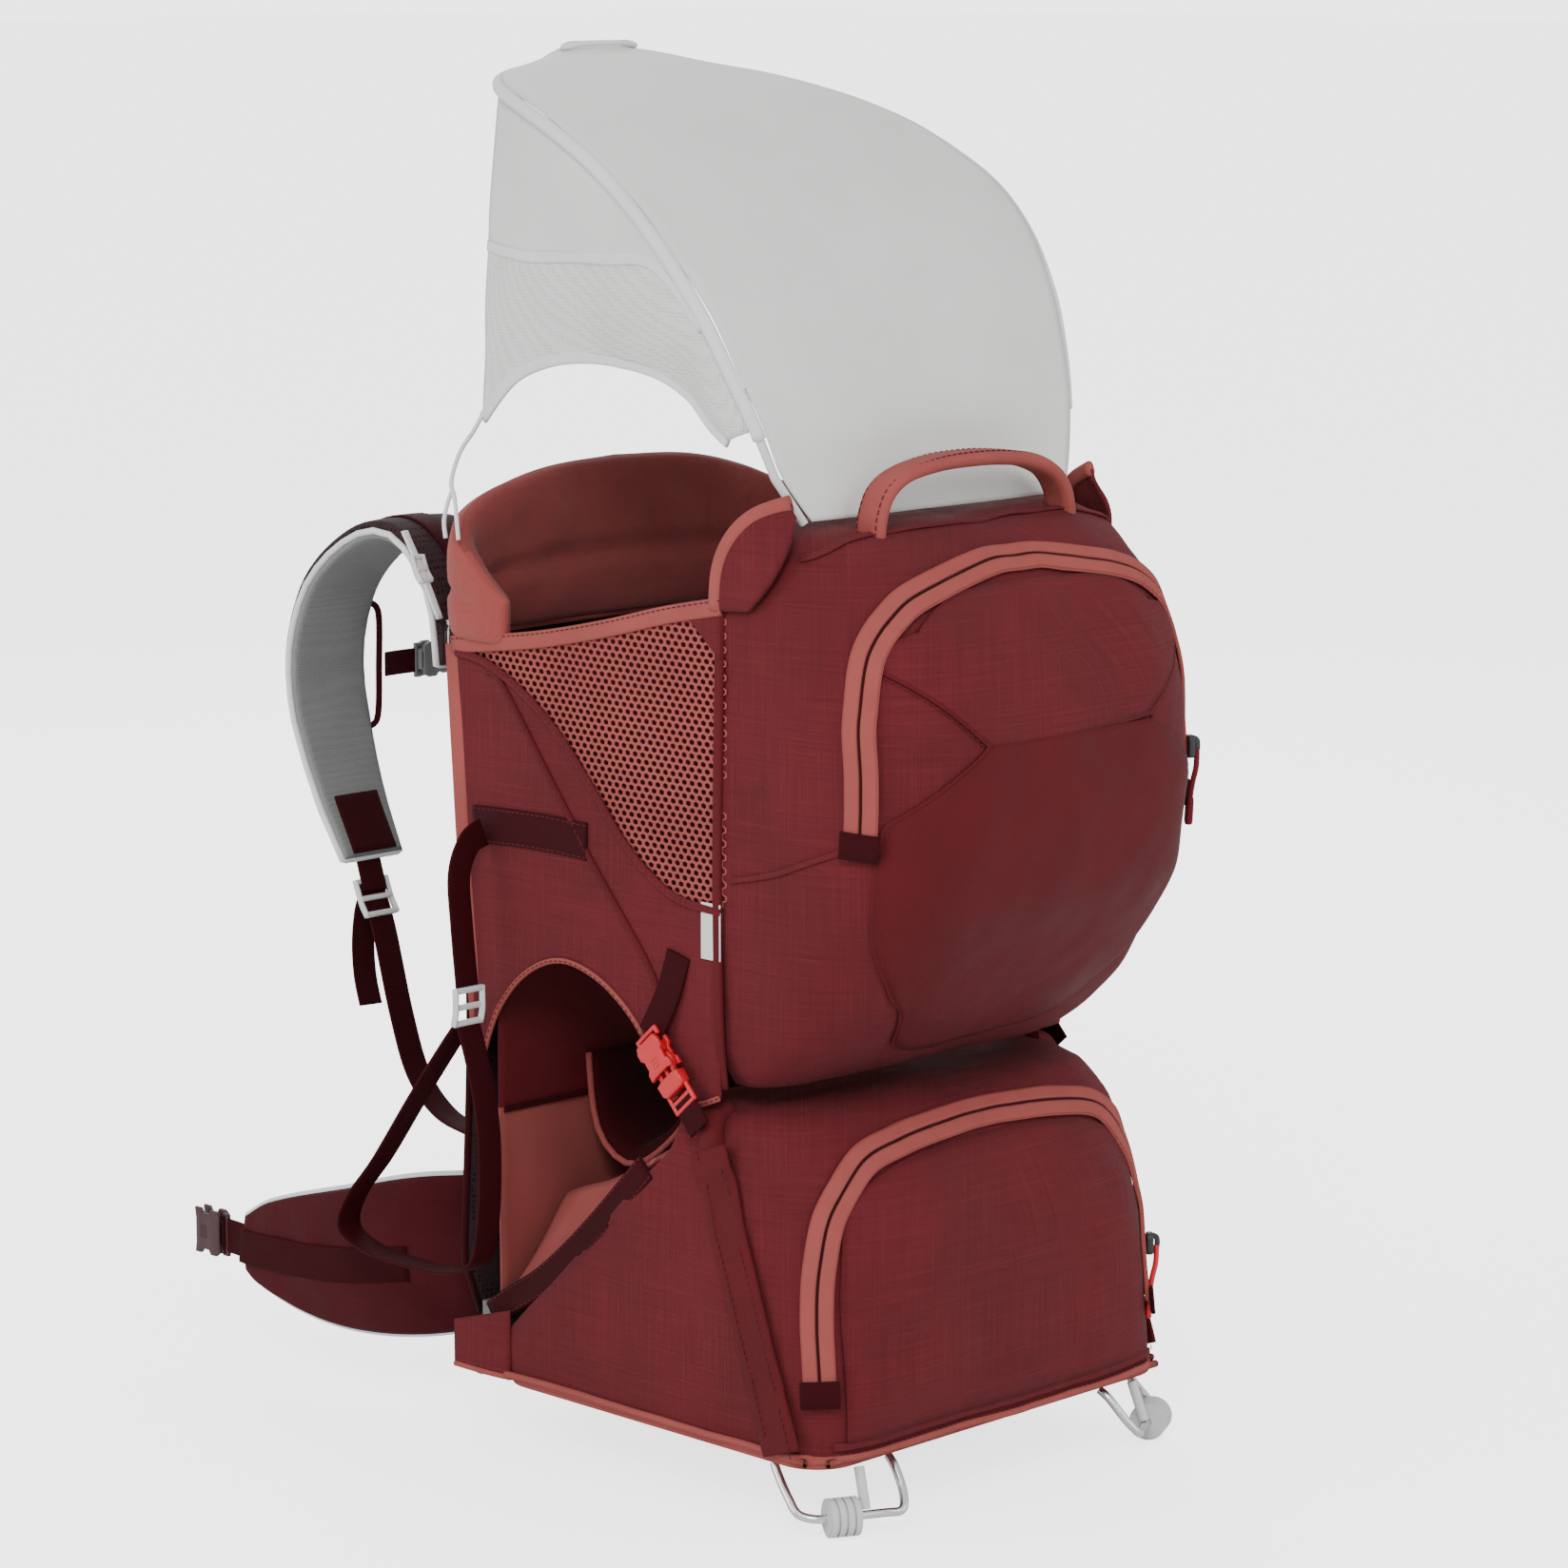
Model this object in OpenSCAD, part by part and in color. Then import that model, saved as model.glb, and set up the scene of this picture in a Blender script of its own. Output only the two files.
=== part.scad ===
/* [Whole carrier] */
// Half width of the cockpit, side panel to side panel
cockpit_half = 170; // [165:1:172]
// Height of the top of the cockpit collar above the floor
collar_top = 680; // [670:1:690]
// Height of the top pocket's lid above the floor
bag_top = 655; // [645:1:660]

/* [Back frame] */
// Radius of the bent frame tube
frame_r = 8; // [7:0.5:9]
// Half spacing of the two uprights
frame_half = 128; // [120:1:130]
// Height of the frame's top bar
frame_top = 548; // [530:1:550]
// Width of the rubber skid under the frame
skid_w = 90; // [70:2:110]

/* [Base] */
// Distance from the fold hinge to the outer base tube
base_reach = 326; // [315:1:326]
// Radius of the base tube
base_r = 7; // [6:0.5:7]
// Radius of the rubber stand feet
foot_r = 13; // [11:0.5:13]
// Radius of the stand wire
wire_r = 3; // [2.5:0.25:3]

/* [Soft goods] */
// Thickness of the fabric side panels
panel_t = 4; // [3:0.5:4]
// Width of the harness webbing
webbing_w = 22; // [18:1:24]
// Width of a shoulder strap
strap_w = 68; // [60:1:72]
// Thickness of a shoulder strap
strap_t = 13; // [10:1:14]
// Thickness of the hip wings
wing_t = 14; // [10:1:15]

/* [Sun shade] */
// Radius of the shade's hoop rod
hoop_r = 3; // [2:0.25:3]
// Thickness of the shade cloth as modelled
shade_t = 2; // [1.5:0.25:2.5]
// How far the canopy crowns outwards along its middle
shade_crown = 14; // [0:1:20]

/* [Hidden] */
$fn = 48;

eps = 0.01;
burgundy = "#6e2a30";
dark_burgundy = "#4f1c22";
salmon = "#b5604f";
pale_grey = "#cdcecb";
mid_grey = "#8d8f90";
silver = "#b9bcbf";
rubber_grey = "#a9acad";
black = "#222222";
red = "#d2332c";

// The fold: the base turns about hinge_y, hinge_z and the strut about strut_y, strut_z.
hinge_y = -28;
hinge_z = 56;
hinge_pin_r = 4;
hinge_eye_r = 12;
base_side = cockpit_half - 3;
base_end = hinge_y - base_reach;
base_corner = 45;
strut_y = -322;
strut_z = 76;
strut_r = 5;
strut_pin_r = 3;
strut_top_y = -250;
strut_top_z = 264;
frame_low = 34;
running = 0.05;

function unit(v) = v / norm(v);
function mean(a, b) = (a + b) / 2;

// Draws its children on the left, or mirrored on the right.
module on_side(s) { mirror([s > 0 ? 1 : 0, 0, 0]) children(); }
module both_sides() { for (s = [-1, 1]) on_side(s) children(); }

// A plate lying in the Y-Z plane between x0 and x1.
module yz_plate(x0, x1) {
    translate([x0, 0, 0]) rotate([90, 0, 90]) linear_extrude(x1 - x0) children();
}
// A plate lying in the X-Z plane between y0 and y1.
module xz_plate(y0, y1) {
    translate([0, y1, 0]) rotate([90, 0, 0]) linear_extrude(y1 - y0) children();
}
// A round rod between two points.
module rod(p, q, r) {
    d = q - p;
    translate(p) rotate([0, acos(d[2] / norm(d)), atan2(d[1], d[0])])
        cylinder(h = norm(d), r = r);
}
// A tube swept along points: ref is never parallel to the path.
module swept_tube(path, r, ref, sides = 10) {
    n = len(path);
    rings = [for (i = [0 : n - 1])
        let (t = unit(path[min(i + 1, n - 1)] - path[max(i - 1, 0)]),
             u = unit(cross(t, ref)), v = cross(t, u))
        for (k = [0 : sides - 1]) path[i] + r * (cos(360 * k / sides) * u
                                                 + sin(360 * k / sides) * v)];
    walls = [for (i = [0 : n - 2], k = [0 : sides - 1])
        let (a = i * sides + k, b = i * sides + (k + 1) % sides)
        [a, a + sides, b + sides, b]];
    start = [for (k = [0 : sides - 1]) k];
    end = [for (k = [sides - 1 : -1 : 0]) (n - 1) * sides + k];
    polyhedron(points = rings, faces = concat([start, end], walls), convexity = 6);
}
// A closed sheet between two grids of points with the same rows and columns.
module sheet(front, back) {
    rows = len(front);
    cols = len(front[0]);
    count = rows * cols;
    points = concat([for (row = front) each row], [for (row = back) each row]);
    cells = [for (i = [0 : rows - 2], j = [0 : cols - 2]) i * cols + j];
    front_faces = [for (c = cells) [c, c + cols, c + cols + 1, c + 1]];
    back_faces = [for (c = cells) [c + count, c + 1 + count, c + cols + 1 + count, c + cols + count]];
    rim = concat([for (j = [0 : cols - 1]) j],
                 [for (i = [1 : rows - 1]) i * cols + cols - 1],
                 [for (j = [cols - 2 : -1 : 0]) (rows - 1) * cols + j],
                 [for (i = [rows - 2 : -1 : 1]) i * cols]);
    rim_faces = [for (k = [0 : len(rim) - 1])
        let (a = rim[k], b = rim[(k + 1) % len(rim)]) [a, b, b + count, a + count]];
    polyhedron(points = points, faces = concat(front_faces, back_faces, rim_faces), convexity = 6);
}
// The outline of a band of thickness t along an open line of 2-D points.
function normal_at(p, i) =
    let (d = unit(p[min(i + 1, len(p) - 1)] - p[max(i - 1, 0)])) [-d[1], d[0]];
module band(line, t) {
    n = len(line);
    polygon(concat([for (i = [0 : n - 1]) line[i] + normal_at(line, i) * t / 2],
                   [for (i = [n - 1 : -1 : 0]) line[i] - normal_at(line, i) * t / 2]));
}
// Points on a quarter arc in 2-D.
function arc(c, r, from, to, steps = 6) =
    [for (k = [0 : steps]) let (a = from + (to - from) * k / steps) c + r * [cos(a), sin(a)]];
module rounded(w, h, r) { offset(r) square([w - 2 * r, h - 2 * r], center = true); }

// ---- Back frame ----
frame_bend = 60;
foot_bend = 40;
module frame_corner(x, z, radius, from) {
    translate([x, hinge_y, z]) rotate([90, 0, 0]) rotate([0, 0, from])
        rotate_extrude(angle = 90) translate([radius, 0]) circle(r = frame_r);
}
module back_frame() {
    color(silver) {
        both_sides() {
            translate([-frame_half, hinge_y, frame_low + foot_bend])
                cylinder(h = frame_top - frame_low - frame_bend - foot_bend, r = frame_r);
            frame_corner(-frame_half + frame_bend, frame_top - frame_bend, frame_bend, 90);
            frame_corner(-frame_half + foot_bend, frame_low + foot_bend, foot_bend, 180);
        }
        rod([-frame_half + frame_bend, hinge_y, frame_top], [frame_half - frame_bend, hinge_y, frame_top],
            frame_r);
        rod([-frame_half + foot_bend, hinge_y, frame_low], [frame_half - foot_bend, hinge_y, frame_low],
            frame_r);
    }
}
bar_zs = [140, 330, 470];
bar_h = 22;
bar_t = 2.5;
bar_y = hinge_y + frame_r + 0.1;
module cross_bars() {
    color(silver) for (z = bar_zs)
        translate([-frame_half - 6, bar_y, z]) cube([2 * frame_half + 12, bar_t, bar_h]);
}
skid_back = -42;
skid_front = 14;
skid_h = 32;
module rear_skid() {
    color(black) difference() {
        translate([0, mean(skid_back, skid_front), 0]) linear_extrude(skid_h)
            rounded(skid_w, skid_front - skid_back, 8);
        rod([-skid_w, hinge_y, frame_low], [skid_w, hinge_y, frame_low], frame_r + running);
    }
}
bracket_low = hinge_z - 14;
bracket_in = frame_half;
bracket_out = base_side - 9;
module hinge_brackets() {
    color(mid_grey) both_sides() difference() {
        translate([-bracket_out, hinge_y - 13, bracket_low]) cube([bracket_out - bracket_in, 26, 50]);
        translate([-frame_half, hinge_y, 0]) cylinder(h = 200, r = frame_r + running);
        translate([-180, hinge_y, hinge_z]) rotate([0, 90, 0]) cylinder(h = 40, r = hinge_pin_r);
    }
}
module hinge_pins() {
    color(silver) both_sides() {
        translate([-base_side - 8, hinge_y, hinge_z]) rotate([0, 90, 0]) cylinder(h = 33, r = hinge_pin_r);
        translate([-base_side - 10, hinge_y, hinge_z]) rotate([0, 90, 0]) cylinder(h = 2.5, r = 7);
    }
}

// ---- Back panel, torso track and pads ----
back_line = [[4, 72], [-4, 180], [-9, 310], [-1, 442], [6, 548]];
module back_panel() {
    color(dark_burgundy) yz_plate(-cockpit_half + 8, cockpit_half - 8) band(back_line, 8);
}
track_y0 = 10.5;
track_y1 = 24;
module torso_track() {
    color(black) translate([0, mean(track_y0, track_y1), 200]) linear_extrude(345)
        rounded(36, track_y1 - track_y0, 3);
}
module lumbar_pad() {
    color(dark_burgundy) xz_plate(10, 30) translate([0, 122]) rounded(168, 126, 22);
}
collar_low = 562;
collar_t = 13;
collar_front = 21;
collar_back = -58;
collar_half = cockpit_half - 7;
module collar_outline(inset) {
    translate([0, collar_front - 150]) offset(60 - inset) square([2 * collar_half - 120, 180], center = true);
}
module collar_pad() {
    color(salmon) translate([0, 0, collar_low]) linear_extrude(collar_top - collar_low) difference() {
        collar_outline(0);
        collar_outline(collar_t);
        translate([-200, collar_back - 400]) square([400, 400]);
    }
}
side_outline = [
    [-23, 238], [-28, 266], [-46, 306], [-78, 338], [-112, 351], [-150, 343],
    [-181, 322], [-201, 296], [-212, 274], [-254, 281], [-254, 606], [-3, 553], [-14, 442], [-26, 310]
];
band_z = 428;
module side_panel(s) {
    color(burgundy) on_side(s) {
        yz_plate(-cockpit_half, -cockpit_half + panel_t) polygon(side_outline);
        translate([-cockpit_half - 2, -128, band_z]) cube([2 + eps, 96, 20]);
    }
}
module side_panel_left() { side_panel(-1); }
module side_panel_right() { side_panel(1); }

// ---- Base ----
module base_leg_corner() {
    translate([-base_side + base_corner, base_end + base_corner, hinge_z]) rotate([0, 0, 180])
        rotate_extrude(angle = 90) translate([base_corner, 0]) circle(r = base_r);
}
lug_t = 3;
eye_t = 10;
module base_tubes() {
    both_sides() {
        rod([-base_side, base_end + base_corner, hinge_z], [-base_side, hinge_y - hinge_eye_r + 2, hinge_z],
            base_r);
        base_leg_corner();
    }
    rod([-base_side + base_corner, base_end, hinge_z], [base_side - base_corner, base_end, hinge_z], base_r);
}
module base_eye() {
    translate([-base_side - 6, hinge_y, hinge_z]) rotate([0, 90, 0]) difference() {
        cylinder(h = 12, r = hinge_eye_r);
        translate([0, 0, -1]) cylinder(h = 14, r = hinge_pin_r + running);
    }
}
module strut_lugs() {
    for (x = [-base_side - eye_t / 2 - 0.5 - lug_t, -base_side + eye_t / 2 + 0.5])
        translate([x, strut_y, 0]) difference() {
            translate([0, -8, hinge_z]) cube([lug_t, 16, strut_z - hinge_z + 6]);
            translate([-1, 0, strut_z]) rotate([0, 90, 0]) cylinder(h = lug_t + 2, r = strut_pin_r);
        }
}
module base_frame() {
    color(silver) {
        base_tubes();
        both_sides() {
            base_eye();
            strut_lugs();
        }
    }
}
board_top = hinge_z - base_r - 0.2;
board_t = 4;
module base_board() {
    color(salmon) translate([0, (base_end - 6 - 46) / 2, board_top - board_t]) linear_extrude(board_t)
        rounded(2 * cockpit_half + 10, -base_end + 6 - 46, 30);
}
// A wire runs down at the side, out past the foot and up again at the outer face.
wire_side = [-171, -318];
wire_face = [-106, base_end - 4];
wire_top = board_top - board_t - 1.7;
foot_a = [-176, -352, foot_r];
foot_b = [-118, -382, foot_r];
foot_at = foot_a + 0.36 * (foot_b - foot_a);
foot_dir = unit(foot_b - foot_a);
foot_len = 22;
module stand_wire() {
    swept_tube([[wire_side[0], wire_side[1], wire_top], [-173, -327, 30], foot_a + [0, 8, 8],
                foot_a + 6 * foot_dir, foot_at, foot_b - 6 * foot_dir, foot_b + [5, -1, 8],
                [-109, base_end - 8, 32], [wire_face[0], wire_face[1], wire_top]],
               wire_r, unit([1, 1.2, 0]), 8);
}
module stand_wires() { color(silver) both_sides() stand_wire(); }
module foot(s) {
    color(rubber_grey) on_side(s)
        translate(foot_at - foot_dir * foot_len / 2) rotate([0, 90, atan2(foot_dir[1], foot_dir[0])])
            rotate_extrude() for (k = [0 : 3])
                translate([wire_r + 0.1, k * foot_len / 4]) {
                    square([foot_r - wire_r - 2, foot_len / 4]);
                    translate([0, 0.8]) square([foot_r - wire_r - 0.1, foot_len / 4 - 1.6]);
                }
}
module foot_left() { foot(-1); }
module foot_right() { foot(1); }
module foot_struts() {
    color(pale_grey) both_sides() {
        p = foot_at + foot_dir * (foot_len / 2 + 6);
        rod([p[0] + 3, p[1] + 10, wire_top], [p[0], p[1] + 1, foot_r + wire_r + 0.3], 3.5);
    }
}

// ---- Lower bag ----
bag_low = hinge_z + base_r + 0.5;
lower_top = 256;
lower_half = cockpit_half + 5;
strut_tilt = atan2(strut_top_z - strut_z, strut_top_y - strut_y);
strut_len = norm([strut_top_y - strut_y, strut_top_z - strut_z]);
module strut_groove(x, w) {
    translate([x - w / 2, strut_y, strut_z]) rotate([strut_tilt, 0, 0]) {
        translate([0, -16, -10]) cube([w, strut_len + 60, 20]);
        translate([0, strut_len - 36, -10]) cube([w + 40, 80, 20]);
    }
}
module lower_bag() {
    color(burgundy) difference() {
        hull() {
            translate([-lower_half, -358, bag_low]) cube([2 * lower_half, 314, 10]);
            translate([-lower_half, -262, lower_top - 14]) cube([2 * lower_half, 34, 12]);
            translate([-110, -350, lower_top - 10]) cube([220, 120, 10]);
            translate([-120, -362, 80]) cube([240, 10, 150]);
        }
        both_sides() {
            strut_groove(-base_side - 2, 20);
            translate([-200, strut_y - 14, bag_low - 5]) cube([44, 28, 36]);
        }
    }
}
lower_face = -362;
module lower_pocket() {
    color(burgundy) hull() {
        xz_plate(lower_face - 8, lower_face - 0.2) translate([0, 152]) rounded(272, 172, 54);
        xz_plate(lower_face - 20, lower_face - 10) translate([0, 148]) rounded(210, 120, 40);
    }
}
zip_w = 15;
zip_t = 3;
// An arch with straight legs that end at height low.
module zip_arch(half, low, top, r) {
    difference() {
        translate([0, top - 150]) rounded(2 * half, 300, r);
        translate([0, top - 150]) rounded(2 * (half - zip_w), 300 - 2 * zip_w, r - zip_w + 2);
        translate([-300, top - 400]) square([600, 400 - (top - low)]);
    }
}
lower_zip_half = 154;
lower_zip_top = 256;
module lower_zip_track() {
    color(salmon) xz_plate(lower_face - zip_t - 0.2, lower_face - 0.2)
        zip_arch(lower_zip_half, 95, lower_zip_top, 62);
}
slider_w = 10;
slider_h = 18;
slider_t = 4;
// A slider with its pull hanging below it.
module zip_slider(x, y, z) {
    translate([x - slider_w / 2, y - slider_t, z]) cube([slider_w, slider_t, slider_h]);
    translate([x - 2, y - slider_t, z - 30]) cube([4, 3, 30 + eps]);
}
lower_slider_x = lower_zip_half - zip_w / 2;
track_gap = 0.4;
module lower_zip_slider() {
    color(red) zip_slider(lower_slider_x, lower_face - zip_t - 0.2 - track_gap, 118);
}

// ---- Strut ----
strut_bend = 22;
// Drawn upright with its pivots at the origin, then tipped into place.
module strut_frame() {
    color(silver) translate([0, strut_y, strut_z]) rotate([strut_tilt - 90, 0, 0]) {
        both_sides() {
            translate([-base_side, 0, 5]) cylinder(h = strut_len - strut_bend - 5, r = strut_r);
            translate([-base_side + strut_bend, 0, strut_len - strut_bend]) rotate([90, 0, 0])
                rotate([0, 0, 90]) rotate_extrude(angle = 90) translate([strut_bend, 0]) circle(r = strut_r);
            translate([-base_side - 4, 0, 0]) rotate([0, 90, 0]) difference() {
                cylinder(h = 8, r = 8);
                translate([0, 0, -1]) cylinder(h = 10, r = strut_pin_r + running);
            }
        }
        translate([-base_side + strut_bend, 0, strut_len]) rotate([0, 90, 0])
            cylinder(h = 2 * (base_side - strut_bend), r = strut_r);
    }
}
module strut_pins() {
    color(silver) both_sides()
        translate([-base_side - 10, strut_y, strut_z]) rotate([0, 90, 0]) cylinder(h = 20, r = strut_pin_r);
}

// ---- Top bag ----
bag_back = -259;
top_face = -366;
bag_bottom = 282;
pocket_depth = 58;
module top_bag() {
    color(burgundy) hull() {
        translate([-cockpit_half + 5, bag_back - 14, bag_bottom + 6])
            cube([2 * cockpit_half - 10, 14, 350]);
        translate([-146, -338, bag_bottom]) cube([292, 70, 350]);
        translate([-130, -344, bag_top - 10]) cube([260, 66, 10]);
        translate([-138, top_face, 318]) cube([276, 10, 292]);
    }
}
module top_pocket() {
    color(burgundy) hull() {
        xz_plate(top_face - 10, top_face - 0.2) translate([0, 460]) rounded(236, 286, 54);
        xz_plate(top_face - pocket_depth, top_face - pocket_depth + 10) translate([0, 470]) rounded(170, 170, 50);
    }
}
top_zip_half = 137;
top_zip_top = 622;
top_zip_low = 445;
module top_zip_track() {
    color(salmon) xz_plate(top_face - zip_t - 0.2, top_face - 0.2)
        zip_arch(top_zip_half, top_zip_low, top_zip_top, 60);
}
module top_zip_slider() {
    color(burgundy) zip_slider(top_zip_half - zip_w / 2, top_face - zip_t - 0.2 - track_gap, 476);
}
module ears() {
    color(salmon) both_sides() yz_plate(-cockpit_half, -cockpit_half + 4.8)
        polygon([[-260, 600], [-272, 600], [-306, 650], [-306, 686], [-290, 674], [-270, 648], [-261, 620]]);
}
handle_half = 78;
handle_y = -322;
handle_line = concat([[-handle_half, bag_top + 0.2]],
                     arc([-handle_half + 30, bag_top + 12], 30, 180, 90),
                     arc([handle_half - 30, bag_top + 12], 30, 90, 0),
                     [[handle_half, bag_top + 0.2]]);
module grab_handle() {
    color(salmon) xz_plate(handle_y - 11, handle_y + 11) band(handle_line, 9);
}
module child_harness() {
    color(dark_burgundy) {
        both_sides() xz_plate(bag_back + 0.3, bag_back + 10) translate([-42, 510]) rounded(40, 150, 14);
        xz_plate(bag_back + 10.2, bag_back + 22) translate([0, 452]) rounded(96, 34, 8);
    }
}
seat_line = [[-44, 262], [-52, 216], [-82, 198], [-128, 226], [-188, 292], [-196, 350]];
seat_half = 82;
module child_seat() {
    color(dark_burgundy) yz_plate(-seat_half, seat_half) band(seat_line, 16);
}

// ---- Sun shade ----
// Half width, distance and height of the hoop, from its foot to its front.
hoop = [
    [125, -298, 660], [141, -287, 690], [151, -278, 724], [161, -263, 762], [168, -246, 796],
    [174, -220, 832], [175, -187, 863], [169, -144, 889], [161, -100, 908], [148, -55, 922],
    [130, -15, 932], [100, 16, 938], [55, 36, 942], [0, 44, 943]
];
hoop_end = len(hoop) - 1;
hoop_path = concat([for (h = hoop) [-h[0], h[1], h[2]]],
                   [for (i = [hoop_end - 1 : -1 : 0]) hoop[i]]);
module shade_hoop() {
    color(pale_grey) swept_tube(hoop_path, hoop_r, unit([0, 1, -1]), 8);
}
canopy_cols = 8;
canopy_rows = hoop_end - 1;
function hoop_line(i) = [hoop[i][1], hoop[i][2]];
function hoop_normal(i) =
    let (d = unit(hoop_line(min(i + 1, hoop_end)) - hoop_line(max(i - 1, 0)))) [0, -d[1], d[0]];
// The canopy keeps clear of the hoop, by more where the hoop turns across the front.
function canopy_inset(i) = hoop_r + 1.5 + 2.5 * max(0, i - 8);
function canopy_row(i, lift) = [for (j = [0 : canopy_cols])
    let (u = 2 * j / canopy_cols - 1, h = hoop[i], crown = shade_crown * min(1, i / 4) * (1 - u * u))
    [u * (h[0] - canopy_inset(i)), h[1] - (i == canopy_rows ? 8 : 0), h[2]]
        + hoop_normal(i) * (lift + crown)];
module shade_canopy() {
    color(pale_grey) sheet([for (i = [0 : canopy_rows]) canopy_row(i, shade_t)],
                           [for (i = [0 : canopy_rows]) canopy_row(i, 0)]);
}
// Lower edge of a side curtain, below hoop points 2 to 10.
curtain_edge = [
    [151, -254, 712], [150, -236, 722], [148, -214, 740], [147, -186, 752], [146, -152, 757],
    [144, -114, 758], [140, -74, 753], [134, -30, 738], [127, 8, 708]
];
curtain_first = 2;
function curtain_row(k, shift) =
    let (h = hoop[k + curtain_first], top = [h[0] - 3, h[1] + 4, h[2] - 9], low = curtain_edge[k])
    [for (f = [0, 0.5, 1]) let (p = top * (1 - f) + low * f) [-p[0] - shift, p[1], p[2]]];
module shade_curtain(s) {
    color(pale_grey) on_side(s)
        sheet([for (k = [0 : 8]) curtain_row(k, shade_t)], [for (k = [0 : 8]) curtain_row(k, 0)]);
}
module shade_curtain_left() { shade_curtain(-1); }
module shade_curtain_right() { shade_curtain(1); }
module shade_pull_loop() {
    color(pale_grey) difference() {
        translate([0, 26, 959.5]) linear_extrude(3) rounded(70, 22, 10);
        translate([0, 26, 950]) linear_extrude(15) rounded(52, 10, 4);
    }
}
module shade_tethers() {
    color(pale_grey) both_sides()
        swept_tube([[-133, 9, 706], [-148, 6, 688], [-168, -4, 668], [-171, -12, 652]], 1.6, [0, 1, 0], 8);
}

// ---- Wearer's harness ----
yoke_y = 26;
module shoulder_yoke() {
    color(dark_burgundy) xz_plate(yoke_y, yoke_y + 8) {
        translate([0, 548]) rounded(292, 40, 14);
        translate([0, 480]) rounded(110, 130, 20);
    }
}
strap_line = [
    [42, 534], [48, 576], [66, 606], [92, 622], [122, 620], [156, 602], [184, 574], [200, 536],
    [202, 500], [192, 460], [176, 420], [154, 380]
];
strap_x = -110;
module shoulder_strap(s) {
    color(dark_burgundy) on_side(s)
        yz_plate(strap_x - strap_w / 2, strap_x + strap_w / 2) band(strap_line, strap_t);
}
module shoulder_strap_left() { shoulder_strap(-1); }
module shoulder_strap_right() { shoulder_strap(1); }
lock_y = 146;
lock_z = 352;
module strap_ladder_locks() {
    color(pale_grey) both_sides() yz_plate(strap_x - 20, strap_x + 14)
        translate([lock_y, lock_z]) rotate(62) rounded(30, 9, 3);
}
module strap_webbing(s) {
    color(dark_burgundy) on_side(s) {
        line = [[138, 330], [120, 270], [102, 228], [74, 204], [40, 196], [14, 194]];
        yz_plate(strap_x - 16, strap_x - 16 + webbing_w) band(line, 2.5);
    }
}
module strap_webbing_left() { strap_webbing(-1); }
module strap_webbing_right() { strap_webbing(1); }
module load_lifters() {
    color(pale_grey) both_sides() yz_plate(-150, -144.5)
        polygon([[40, 566], [58, 606], [74, 628], [62, 632], [44, 612], [30, 572]]);
}
sternum_y = 186;
sternum_z = 512;
rail_x = 71;
module sternum_rails() {
    color(mid_grey) both_sides() {
        translate([-rail_x, sternum_y, sternum_z - 40]) cylinder(h = 80, r = 2.5);
        for (z = [sternum_z - 40, sternum_z + 34]) translate([-rail_x - 4, sternum_y - 1, z]) cube([4, 2, 6]);
    }
}
module sternum_buckle_socket() {
    color(mid_grey) {
        translate([-rail_x + 3, sternum_y - 1.5, sternum_z - 9]) cube([35, 2.5, 18]);
        difference() {
            translate([-34, sternum_y - 6, sternum_z - 13]) cube([32, 11, 26]);
            translate([-20, sternum_y - 3.5, sternum_z - 9]) cube([20, 6, 18]);
        }
    }
}
module sternum_buckle_prong() {
    color(mid_grey) {
        translate([8, sternum_y + 3, sternum_z - 9]) cube([rail_x - 6, 2, 15]);
        translate([-1.5, sternum_y - 5, sternum_z - 11]) cube([15, 9, 22]);
        for (z = [-7, 3]) translate([-18, sternum_y - 3, sternum_z + z]) cube([17, 5, 4]);
    }
}

// ---- Hip belt ----
wing_line = concat([[-90, 22]], [[-112, 28], [-134, 46], [-152, 74], [-163, 110], [-168, 150],
                                 [-170, 190], [-170, 232]]);
module hip_wing(s) {
    color(burgundy) on_side(s) intersection() {
        linear_extrude(200) band(wing_line, wing_t);
        yz_plate(-200, 0) polygon([[0, 60], [60, 46], [140, 44], [210, 60], [240, 74], [240, 110],
                                   [200, 128], [120, 150], [60, 172], [0, 176]]);
    }
}
module hip_wing_left() { hip_wing(-1); }
module hip_wing_right() { hip_wing(1); }
module hip_webbing(s) {
    color(dark_burgundy) on_side(s) translate([-171, 232.5, 78]) cube([3, 22, 26]);
}
module hip_webbing_left() { hip_webbing(-1); }
module hip_webbing_right() { hip_webbing(1); }
module hip_buckle_socket() {
    color(pale_grey) difference() {
        translate([-176, 254.8, 74]) cube([13, 30, 34]);
        translate([-173, 266, 80]) cube([7, 30, 22]);
    }
}
module hip_buckle_prong() {
    color(pale_grey) {
        translate([163, 254.8, 74]) cube([13, 10, 34]);
        for (z = [81, 96]) translate([167, 264.7, z]) cube([5, 16, 5]);
    }
}

// ---- Leg opening buckles ----
leg_x = -cockpit_half - 8;
leg_top = [-206, 312];
leg_angle = -42;
module leg_frame(s) {
    on_side(s) translate([leg_x, leg_top[0], leg_top[1]]) rotate([leg_angle, 0, 0]) children();
}
module leg_buckle_sockets() {
    color(red) both_sides() leg_frame(-1) difference() {
        translate([-5, -12, -26]) cube([12, 24, 26]);
        translate([-2.4, -8, -27]) cube([6.8, 16, 18]);
    }
}
module leg_buckle_prong(s) {
    color(red) leg_frame(s) {
        for (y = [-7, 3]) translate([-1.6, y, -30]) cube([5.2, 4, 18]);
        translate([-4, -12, -42]) cube([10, 24, 12.2]);
        translate([0, -11, -70]) cube([2.5, 22, 28.2]);
    }
}
module leg_buckle_prong_left() { leg_buckle_prong(-1); }
module leg_buckle_prong_right() { leg_buckle_prong(1); }

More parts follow.
